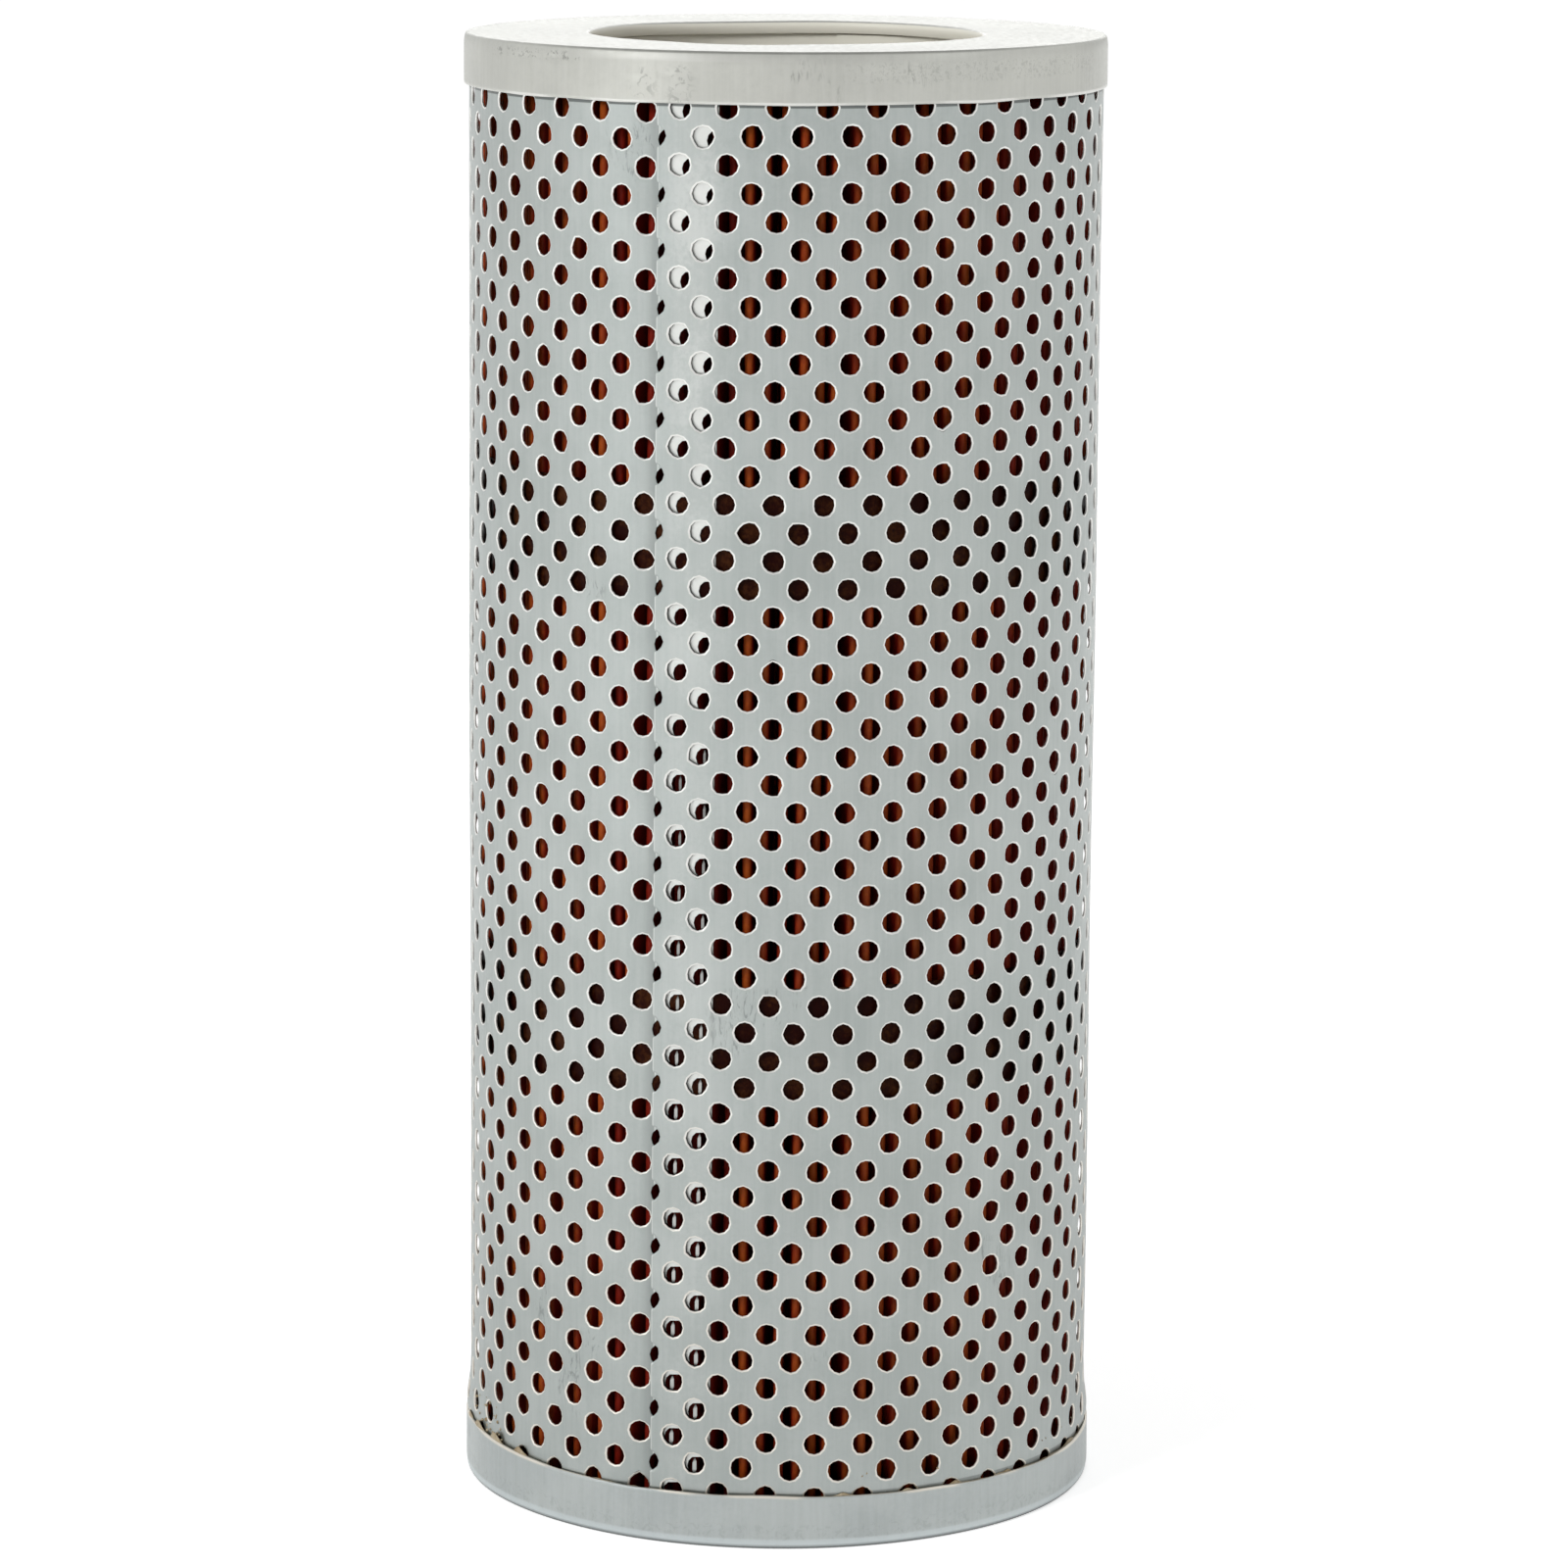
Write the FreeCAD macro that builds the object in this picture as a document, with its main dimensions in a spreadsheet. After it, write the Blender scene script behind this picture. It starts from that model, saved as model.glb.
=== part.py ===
import FreeCAD, Part
import math
import os
import Sketcher
from FreeCAD import Placement, Rotation, Vector

# Hydraulic filter element: pleated paper between two perforated steel tubes,
# potted into a pressed steel cap at each end. Millimetres, +Z up, the origin
# on the axis at the lower end face. Angles are measured from -Y towards +X.

doc = FreeCAD.newDocument("filter_element")

# Driving dimensions

SIZES = (
    ("element_height", 298.0, "over the two end faces"),
    ("cap_outer_diameter", 130.0, "over the skirt of an end cap"),
    ("cap_height", 11.0, "end face to the rim of the skirt"),
    ("cap_sheet", 0.6, "thickness of the pressed cap"),
    ("cap_corner", 1.3, "bevel between end face and skirt"),
    ("bore_diameter", 79.2, "clear opening of an end cap"),
    ("lip_height", 2.6, "end face to the edge of the lip turned into the bore"),
    ("potting_depth", 3.0, "adhesive in a cap, under the tubes and the paper"),
    ("skirt_clearance", 0.35, "radial gap between skirt and outer shell"),
    ("shell_sheet", 0.5, "thickness of the outer shell"),
    ("shell_flats", 60, "flats that draw the round of the outer shell"),
    ("shell_lap_flats", 2, "flats covered by the outer shell's lap seam"),
    ("shell_seam_angle", -23.1, "cut edge of the outer shell, degrees"),
    ("shell_hole_diameter", 4.3, "punched hole in the outer shell"),
    ("shell_holes_round", 10, "holes in one row of the outer shell"),
    ("shell_hole_rows", 12, "rows of holes in the outer shell"),
    ("shell_row_pitch", 22.04, "height between rows in the outer shell"),
    ("tube_sheet", 0.5, "thickness of the centre tube"),
    ("tube_flats", 48, "flats that draw the round of the centre tube"),
    ("tube_lap_flats", 2, "flats covered by the centre tube's lap seam"),
    ("tube_seam_angle", 150.0, "cut edge of the centre tube, degrees"),
    ("tube_hole_diameter", 5.0, "punched hole in the centre tube"),
    ("tube_holes_round", 6, "holes in one row of the centre tube"),
    ("tube_hole_rows", 5, "rows of holes in the centre tube"),
    ("tube_row_pitch", 55.0, "height between rows in the centre tube"),
    ("lip_clearance", 0.5, "radial gap between lip and centre tube"),
    ("lap_gap", 0.1, "between the two layers of a lap seam"),
    ("weld_diameter", 2.4, "spot weld in a lap seam"),
    ("weld_count", 7, "spot welds along a lap seam"),
    ("pleat_count", 112, "folds of the paper round the element"),
    ("paper_thickness", 0.35, "thickness of the pleated paper"),
    ("pleat_clearance", 0.3, "between the paper and the centre tube"),
    ("band_width", 23.0, "height of a wrap band"),
    ("band_thickness", 0.25, "thickness of a wrap band"),
    ("band_clearance", 0.05, "between the folds and a wrap band"),
    ("band_shell_gap", 0.2, "between a wrap band and the lapped layer"),
    ("upper_band_middle", 202.0, "height of the middle of the upper wrap band"),
    ("lower_band_middle", 102.7, "height of the middle of the lower wrap band"),
)

sizes = doc.addObject("Spreadsheet::Sheet", "sizes")
for line, (alias, value, meaning) in enumerate(SIZES, start=1):
    sizes.set(f"A{line}", alias)
    sizes.set(f"B{line}", str(value))
    sizes.setAlias(f"B{line}", alias)
    sizes.set(f"C{line}", meaning)
doc.recompute()

# Flat sides that stand for the round of one punched hole or spot weld
PRISM_SIDES = 6

# Radii and heights that pieces share, as expressions of the driving dimensions

CAP_OUTSIDE = "sizes.cap_outer_diameter / 2"
SKIRT_INSIDE = f"({CAP_OUTSIDE} - sizes.cap_sheet)"
CORNER_INSIDE = "(sizes.cap_corner - sizes.cap_sheet * (2 - sqrt(2)))"
BORE_RADIUS = "sizes.bore_diameter / 2"
LIP_OUTSIDE = f"({BORE_RADIUS} + sizes.cap_sheet)"
POTTING_INSIDE = f"({LIP_OUTSIDE} + sizes.lip_clearance)"
POTTING_TOP = "(sizes.cap_sheet + sizes.potting_depth)"
SHELL_OUTSIDE = f"({SKIRT_INSIDE} - sizes.skirt_clearance)"
SHELL_LAP_INSIDE = f"({SHELL_OUTSIDE} - 2 * sizes.shell_sheet - sizes.lap_gap)"
SHELL_FLAT_INSIDE = f"({SHELL_LAP_INSIDE} * cos(180 deg / sizes.shell_flats))"
TUBE_OUTSIDE = f"({POTTING_INSIDE} + 2 * sizes.tube_sheet + sizes.lap_gap)"
BAND_SIDES = "floor(sizes.pleat_count / 2)"
BAND_OUTSIDE = f"({SHELL_FLAT_INSIDE} - sizes.band_shell_gap)"
BAND_INSIDE = f"({BAND_OUTSIDE} - sizes.band_thickness)"
PLEAT_OUTSIDE = f"({BAND_INSIDE} * cos(180 deg / {BAND_SIDES}) - sizes.band_clearance)"
PLEAT_INSIDE = f"({TUBE_OUTSIDE} + sizes.pleat_clearance)"


def number(expression):
    """The value of an expression of the driving dimensions."""
    return float(sizes.evalExpression(expression))


def polar(radius, degrees, height=0.0):
    """A point at an angle that runs from -Y towards +X."""
    angle = math.radians(degrees)
    return Vector(radius * math.sin(angle), -radius * math.cos(angle), height)


# Pressed and cast rings, turned from a half section


def turned(name, corners):
    """A body turned about Z from a closed section of (radius, height) corners."""
    body = doc.addObject("PartDesign::Body", name)
    planes = body.Origin.OriginFeatures
    sketch = body.newObject("Sketcher::SketchObject", name + "_section")
    sketch.AttachmentSupport = [(next(p for p in planes if p.Role == "XZ_Plane"), "")]
    sketch.MapMode = "FlatFace"
    places = [Vector(number(radius), number(height), 0) for radius, height in corners]
    count = len(corners)
    for i in range(count):
        sketch.addGeometry(Part.LineSegment(places[i], places[(i + 1) % count]), False)
    for i in range(count):
        sketch.addConstraint(Sketcher.Constraint("Coincident", i, 2, (i + 1) % count, 1))
    for i, (radius, height) in enumerate(corners):
        across = Sketcher.Constraint("DistanceX", -1, 1, i, 1, places[i].x)
        sketch.setExpression(f"Constraints[{sketch.addConstraint(across)}]", radius)
        up = Sketcher.Constraint("DistanceY", -1, 1, i, 1, places[i].y)
        sketch.setExpression(f"Constraints[{sketch.addConstraint(up)}]", height)
    turn = body.newObject("PartDesign::Revolution", name + "_turn")
    turn.Profile = sketch
    turn.ReferenceAxis = (sketch, ["V_Axis"])
    turn.Angle = 360
    doc.recompute()
    return body


def bevelled(body, corners):
    """Bevels ring edges of a body: each corner is (radius, height, size of the bevel)."""
    for i, (radius, height, bevel_size) in enumerate(corners, start=1):
        base = body.Tip
        bevel = body.newObject("PartDesign::Chamfer", f"{body.Name}_bevel_{i}")
        bevel.Base = (base, [ring_edge(base.Shape, number(radius), number(height))])
        bevel.setExpression("Size", bevel_size)
        doc.recompute()


def ring_edge(shape, radius, height):
    """The name of the circular edge of that radius at that height."""
    for i, edge in enumerate(shape.Edges, start=1):
        circle = edge.Curve
        if not isinstance(circle, Part.Circle):
            continue
        if abs(circle.Radius - radius) < 1e-4 and abs(circle.Center.z - height) < 1e-4:
            return f"Edge{i}"
    raise ValueError(f"no ring edge of radius {radius} at height {height}")


def place_at_end(body, label, upper):
    """Names a lower-end body and, for the upper end, turns it over about X."""
    body.Label = label
    if upper:
        top = Vector(0, 0, number("sizes.element_height"))
        body.Placement = Placement(top, Rotation(Vector(1, 0, 0), 180))
        body.setExpression("Placement.Base.z", "sizes.element_height")
    return body


def end_cap(label, upper):
    """Pressed cap: flat ring, skirt outside and a short lip turned into the bore."""
    body = turned(label, (
        (CAP_OUTSIDE, "0"),
        (CAP_OUTSIDE, "sizes.cap_height"),
        (SKIRT_INSIDE, "sizes.cap_height"),
        (SKIRT_INSIDE, "sizes.cap_sheet"),
        (LIP_OUTSIDE, "sizes.cap_sheet"),
        (LIP_OUTSIDE, "sizes.lip_height"),
        (BORE_RADIUS, "sizes.lip_height"),
        (BORE_RADIUS, "0"),
    ))
    bevelled(body, (
        (CAP_OUTSIDE, "0", "sizes.cap_corner"),
        (SKIRT_INSIDE, "sizes.cap_sheet", CORNER_INSIDE),
    ))
    return place_at_end(body, label, upper)


def potting(label, upper):
    """Adhesive that fills the foot of a cap from the lip to the bevel and the skirt."""
    body = turned(label, (
        (POTTING_INSIDE, "sizes.cap_sheet"),
        (f"{SKIRT_INSIDE} - {CORNER_INSIDE}", "sizes.cap_sheet"),
        (SKIRT_INSIDE, f"sizes.cap_sheet + {CORNER_INSIDE}"),
        (SKIRT_INSIDE, POTTING_TOP),
        (POTTING_INSIDE, POTTING_TOP),
    ))
    return place_at_end(body, label, upper)


# Perforated tubes, rolled from sheet with a spot-welded lap seam


def rolled_section(outside, sheet, flats, lap_flats, seam):
    """The face of a rolled sheet whose last flats step inwards under its first."""
    layer_step = sheet + number("sizes.lap_gap")
    outer_face = []
    for i in range(flats + lap_flats + 1):
        radius = outside if i < flats else outside - layer_step
        outer_face.append((radius, seam + 360 * i / flats))
    inner_face = [(radius - sheet, angle) for radius, angle in reversed(outer_face)]
    places = [polar(*place) for place in outer_face + inner_face]
    return Part.Face(Part.makePolygon([*places, places[0]]))


def radial_prism(radius, start, length, degrees, height):
    """A prism along a radius with the area of a round hole or weld, in few faces."""
    share = math.tau / PRISM_SIDES
    corner = radius * math.sqrt(share / math.sin(share))
    foot = polar(start, degrees, height)
    across = polar(corner, degrees + 90)
    up = Vector(0, 0, corner)
    places = []
    for i in range(PRISM_SIDES + 1):
        turn = share * (i + 0.5)
        places.append(foot + across * math.cos(turn) + up * math.sin(turn))
    return Part.Face(Part.makePolygon(places)).extrude(polar(length, degrees))


def perforated_tube(label, kind, outside):
    """A rolled tube standing between the pottings, punched in staggered rows."""
    sheet = number(f"sizes.{kind}_sheet")
    flats = int(number(f"sizes.{kind}_flats"))
    lap_flats = int(number(f"sizes.{kind}_lap_flats"))
    seam = number(f"sizes.{kind}_seam_angle")
    gap = number("sizes.lap_gap")
    length = number(f"sizes.element_height - 2 * {POTTING_TOP}")
    section = rolled_section(outside, sheet, flats, lap_flats, seam)
    tube = section.extrude(Vector(0, 0, length))

    weld_angle = seam + 180 / flats
    weld_radius = number("sizes.weld_diameter / 2")
    weld_foot = outside - 1.5 * sheet - gap
    weld_count = int(number("sizes.weld_count"))
    welds = []
    for i in range(weld_count):
        height = length * (i + 0.5) / weld_count
        welds.append(radial_prism(weld_radius, weld_foot, sheet + gap, weld_angle, height))
    tube = tube.fuse(welds)

    hole_radius = number(f"sizes.{kind}_hole_diameter / 2")
    around = int(number(f"sizes.{kind}_holes_round"))
    rows = int(number(f"sizes.{kind}_hole_rows"))
    pitch = number(f"sizes.{kind}_row_pitch")
    first = seam + 360 * 1.5 / flats
    reach = 2 * sheet + 4 * gap
    punches = []
    for row in range(rows):
        height = length / 2 + (row - (rows - 1) / 2) * pitch
        for i in range(around):
            angle = first + (i + row % 2 / 2) * 360 / around
            start = outside - reach
            punches.append(radial_prism(hole_radius, start, 2 * reach, angle, height))
    tube = tube.cut(punches)

    feature = doc.addObject("Part::Feature", label)
    feature.Label = label
    feature.Shape = tube
    feature.Placement = Placement(Vector(0, 0, number(POTTING_TOP)), Rotation())
    feature.setExpression("Placement.Base.z", POTTING_TOP)
    return feature


# Filter medium


def pleated_paper(label):
    """Paper folded in sharp pleats and closed into a ring, between the two pottings."""
    outside = number(PLEAT_OUTSIDE)
    inside = number(PLEAT_INSIDE)
    pleats = int(number("sizes.pleat_count"))
    half_pitch = math.pi * (outside + inside) / 2 / pleats
    slope = half_pitch / math.hypot(half_pitch, outside - inside)
    wall = number("sizes.paper_thickness") / slope
    step = 180 / pleats
    rims = []
    for outer, inner in ((outside, inside + wall), (outside - wall, inside)):
        places = [
            polar((outer, inner)[i % 2], i * step) for i in range(2 * pleats)
        ]
        rims.append(Part.makePolygon([*places, places[0]]))
    section = Part.Face(rims[0]).cut(Part.Face(rims[1]))
    length = number(f"sizes.element_height - 2 * {POTTING_TOP}")
    feature = doc.addObject("Part::Feature", label)
    feature.Label = label
    feature.Shape = section.Faces[0].extrude(Vector(0, 0, length))
    feature.Placement = Placement(Vector(0, 0, number(POTTING_TOP)), Rotation())
    feature.setExpression("Placement.Base.z", POTTING_TOP)
    return feature


def wrap_band(label, middle):
    """A band stretched round the folds, straight from every second fold to the next."""
    prisms = []
    for part, radius in (("outside", BAND_OUTSIDE), ("inside", BAND_INSIDE)):
        prism = doc.addObject("Part::Prism", f"{label}_{part}")
        prism.setExpression("Polygon", BAND_SIDES)
        prism.setExpression("Circumradius", radius)
        prism.setExpression("Height", "sizes.band_width")
        prisms.append(prism)
    band = doc.addObject("Part::Cut", label)
    band.Label = label
    band.Base, band.Tool = prisms
    first_fold = Rotation(Vector(0, 0, 1), -90)
    low_edge = f"{middle} - sizes.band_width / 2"
    band.Placement = Placement(Vector(0, 0, number(low_edge)), first_fold)
    band.setExpression("Placement.Base.z", low_edge)
    return band


NODES = (
    end_cap("top_end_cap", True),
    end_cap("bottom_end_cap", False),
    perforated_tube("outer_shell", "shell", number(SHELL_OUTSIDE)),
    perforated_tube("centre_tube", "tube", number(TUBE_OUTSIDE)),
    pleated_paper("pleated_paper"),
    wrap_band("upper_wrap_band", "sizes.upper_band_middle"),
    wrap_band("lower_wrap_band", "sizes.lower_band_middle"),
    potting("top_adhesive", True),
    potting("bottom_adhesive", False),
)

doc.recompute()

for item in doc.Objects:
    if "Invalid" in item.State or "Error" in item.State:
        raise RuntimeError(f"{item.Label} did not compute: {item.State}")

os.makedirs("parts", exist_ok=True)
for node in NODES:
    shape = node.Shape
    if shape.isNull() or not shape.isValid() or len(shape.Solids) != 1:
        raise RuntimeError(f"{node.Label} is not one valid solid")
    print(f"{node.Label}: {shape.Volume:.1f} mm3")
    shape.exportStep(f"parts/{node.Label}.step")
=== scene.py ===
import bpy
import numpy as np
from bpy.props import FloatProperty, FloatVectorProperty, IntProperty, PointerProperty
from mathutils import Matrix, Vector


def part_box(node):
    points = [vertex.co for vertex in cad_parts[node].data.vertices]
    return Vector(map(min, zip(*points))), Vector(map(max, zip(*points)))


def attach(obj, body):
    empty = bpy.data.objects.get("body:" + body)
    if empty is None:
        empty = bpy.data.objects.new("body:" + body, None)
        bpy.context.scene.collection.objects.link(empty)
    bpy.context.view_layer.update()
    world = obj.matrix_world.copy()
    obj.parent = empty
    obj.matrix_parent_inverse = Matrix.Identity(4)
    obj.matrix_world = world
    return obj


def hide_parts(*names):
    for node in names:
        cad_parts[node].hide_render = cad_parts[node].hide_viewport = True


# Looks of a cylindrical hydraulic filter element, laid out as an add-on: a punched
# shell and centre tube round pleated paper, two pressed caps and their adhesive.
# Metres, +Z up. Angles round the axis run in degrees from -Y towards +X.

bl_info = {
    "name": "Hydraulic Filter Element",
    "version": (1, 0, 0),
    "blender": (4, 5, 0),
    "location": "View3D > Sidebar > Filter Element",
    "description": "Builds the punched shell, pleated paper, caps and adhesive of a filter element",
    "category": "Add Mesh",
}

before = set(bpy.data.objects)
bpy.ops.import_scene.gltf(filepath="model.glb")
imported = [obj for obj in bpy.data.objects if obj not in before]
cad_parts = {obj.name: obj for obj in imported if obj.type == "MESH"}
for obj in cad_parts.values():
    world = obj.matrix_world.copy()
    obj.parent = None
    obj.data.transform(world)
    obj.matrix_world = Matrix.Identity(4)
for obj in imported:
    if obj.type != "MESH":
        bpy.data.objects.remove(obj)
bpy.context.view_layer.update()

ELEMENT_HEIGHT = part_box("top_end_cap")[1].z
CAP_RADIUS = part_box("top_end_cap")[1].x
CAP_HEIGHT = ELEMENT_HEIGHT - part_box("top_end_cap")[0].z
PAPER_BOTTOM, PAPER_TOP = (corner.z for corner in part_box("pleated_paper"))

# The upper skirt is drawn a little shorter than its solid's. The lower skirt's rim
# stands higher on the left and lower on the right, by bell curves of (angle, rise,
# half width in degrees).
UPPER_SKIRT = CAP_HEIGHT - 0.00075
RIM_WAVES = ((-72.0, 0.0009, 26.0), (60.0, -0.0006, 38.0))

# The lap seam of the shell: its angle, its drift in degrees per metre of height, and
# the height at which it has that angle. The sheet under the lap is inside UNDER_LAP.
# The shell's foot flares by bell curves of (angle, height, depth, half width in
# degrees, half width upwards).
SHELL_RADIUS = 0.06405
UNDER_LAP = 0.0635
LAP_SEAM = (-23.04, 1.6, 0.149)
SHELL_FLARES = ((-88, 0.0135, 0.0009, 9, 0.0045), (94, 0.0125, 0.0010, 12, 0.0050),
                (-21, 0.0125, 0.0004, 3, 0.0030))

# The centre tube stands clear of both end faces. Its lap seam is at the back.
TUBE_RADIUS = 0.0418
TUBE_CLEARANCE = 0.0028
TUBE_SEAM, TUBE_PITCH, TUBE_COLUMNS = 150.0, 15.0, 25

# Folds that lie deeper and stay darker, on the right and near the lap seam: from and to,
# in degrees, how much deeper, and the share of their amber tone that is left. Near the
# lap seam the lost tone is painted shade, and behind the lap it leaves none.
DARK_FOLDS = ((48, 82, 0.0004, 0.55), (328, 329, 0.0006, 0.35), (335, 339, 0.0016, 0.0),
              (341, 352, 0.0026, 0.0))
BAND_RADIUS = 0.06242
BAND_THICKNESS = 0.00025

# Adhesive: its inner radius, the height of the foot that both tubes stand on, and the
# skin of air between it and the pressed cap
ADHESIVE_INNER = 0.0415
FOOT_TOP = 0.00355
SKIN = 0.00002
CRUMB_SIDES, CRUMB_LEVELS = 12, 8

FLOOR_RADIUS, FLOOR_CORNERS = 14.0, 96
# The camera's turns in radians about Z, X and Y, in that order, and its frame shift
CAMERA_TURNS = (0.00985, 0.17029, -0.00508)
CAMERA_SHIFT = (0.04, -0.04)
SENSOR_WIDTH = 36.0

# A punched hole is drawn by twelve corners, 30 degrees apart, from the direction
# round the tube. Every second of them faces a corner or a middle of its cell, given as
# (half columns to the right, rows down). Three of the six sectors between them lie in
# the right half of the cell, the others in the left.
HOLE_CORNERS = 12
CELL_CORNERS = ((1, 0), (0, 0), (-1, 0), (-1, 1), (0, 1), (1, 1))
RIGHT_SECTORS = (4, 5, 0)
# The share of holes with a nick, the rim's width under the lap as a share of the rest,
# the share of the lap's gap that a punched wall fills, and how far past the outer cut
# edge the halved holes on it have their middles, in hole pitches
NICKED_SHARE = 0.55
UNDER_RIM_SHARE = 0.1
BURR_SHARE = 0.85
CUT_EDGE_SHIFT = 0.045


def ring_points(radius, degrees, height):
    """Points of a cylinder: x = r sin(a), y = -r cos(a), z = height, as one array."""
    angle = np.radians(degrees)
    radius, angle, height = np.broadcast_arrays(radius, angle, height)
    return np.stack([radius * np.sin(angle), -radius * np.cos(angle), height], axis=-1)


def soft_step(low, high, value):
    """0 below low, 1 above high, and 3t^2 - 2t^3 between them."""
    t = np.clip((value - low) / (high - low), 0, 1)
    return t * t * (3 - 2 * t)


def hump(value, middle, width):
    """A bell curve, exp(-((value - middle) / width)^2)."""
    return np.exp(-(((value - middle) / width) ** 2))


def bell_round(degrees, middle, width):
    """A bell curve of the turn from an angle, taken within half a turn either way."""
    return hump((degrees - middle + 180) % 360 - 180, 0, width)


def wave_noise(rng, turns, degrees, height, shortest):
    """A smooth field, mostly from -1 to 1: ten sines of angle and height with seeded
    phases, added and divided by the root of ten. They go round up to so many times, and
    upwards no wave is shorter than that."""
    total = np.zeros(np.broadcast(degrees, height).shape)
    count = 10
    for _ in range(count):
        around = rng.integers(1, turns + 1)
        upward = rng.uniform(-1, 1) / shortest
        phase = rng.uniform(0, 2 * np.pi)
        total += np.sin(np.radians(degrees) * around + 2 * np.pi * upward * height + phase)
    return total / np.sqrt(count)


def new_piece(name, points, faces, node_names, material, flats=(), normals=None,
              marks=None):
    """Puts arrays into a mesh object. faces and flats are lists of arrays of corners,
    one row a face, shaded smooth and flat; normals has one vector for each corner of
    faces; marks has one number per point, which the material reads."""
    points = points.reshape(-1, 3)
    parts = [*faces, *flats]
    corners = np.concatenate([part.ravel() for part in parts])
    used, compact = np.unique(corners, return_inverse=True)
    sides = np.concatenate([np.full(len(part), part.shape[1]) for part in parts])
    smooth_count = sum(len(part) for part in faces)
    mesh = bpy.data.meshes.new(name)
    mesh.vertices.add(len(used))
    mesh.vertices.foreach_set("co", points[used].astype(np.float32).ravel())
    mesh.loops.add(len(corners))
    mesh.loops.foreach_set("vertex_index", compact.astype(np.int32))
    mesh.polygons.add(len(sides))
    starts = np.concatenate([[0], np.cumsum(sides)[:-1]])
    mesh.polygons.foreach_set("loop_start", starts.astype(np.int32))
    mesh.update(calc_edges=True)
    mesh.polygons.foreach_set("use_smooth", np.arange(len(sides)) < smooth_count)
    if marks is not None:
        layer = mesh.attributes.new("mark", "FLOAT", "POINT")
        layer.data.foreach_set("value", marks.ravel()[used].astype(np.float32))
    if normals is not None:
        loop_normals = np.zeros((len(corners), 3))
        given = np.concatenate([part.reshape(-1, 3) for part in normals])
        loop_normals[:len(given)] = given
        mesh.normals_split_custom_set(loop_normals)
    piece = bpy.data.objects.new(name, mesh)
    bpy.context.scene.collection.objects.link(piece)
    mesh.materials.append(material)
    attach(piece, "root")
    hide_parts(*node_names)
    return piece


# Punched sheet


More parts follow.
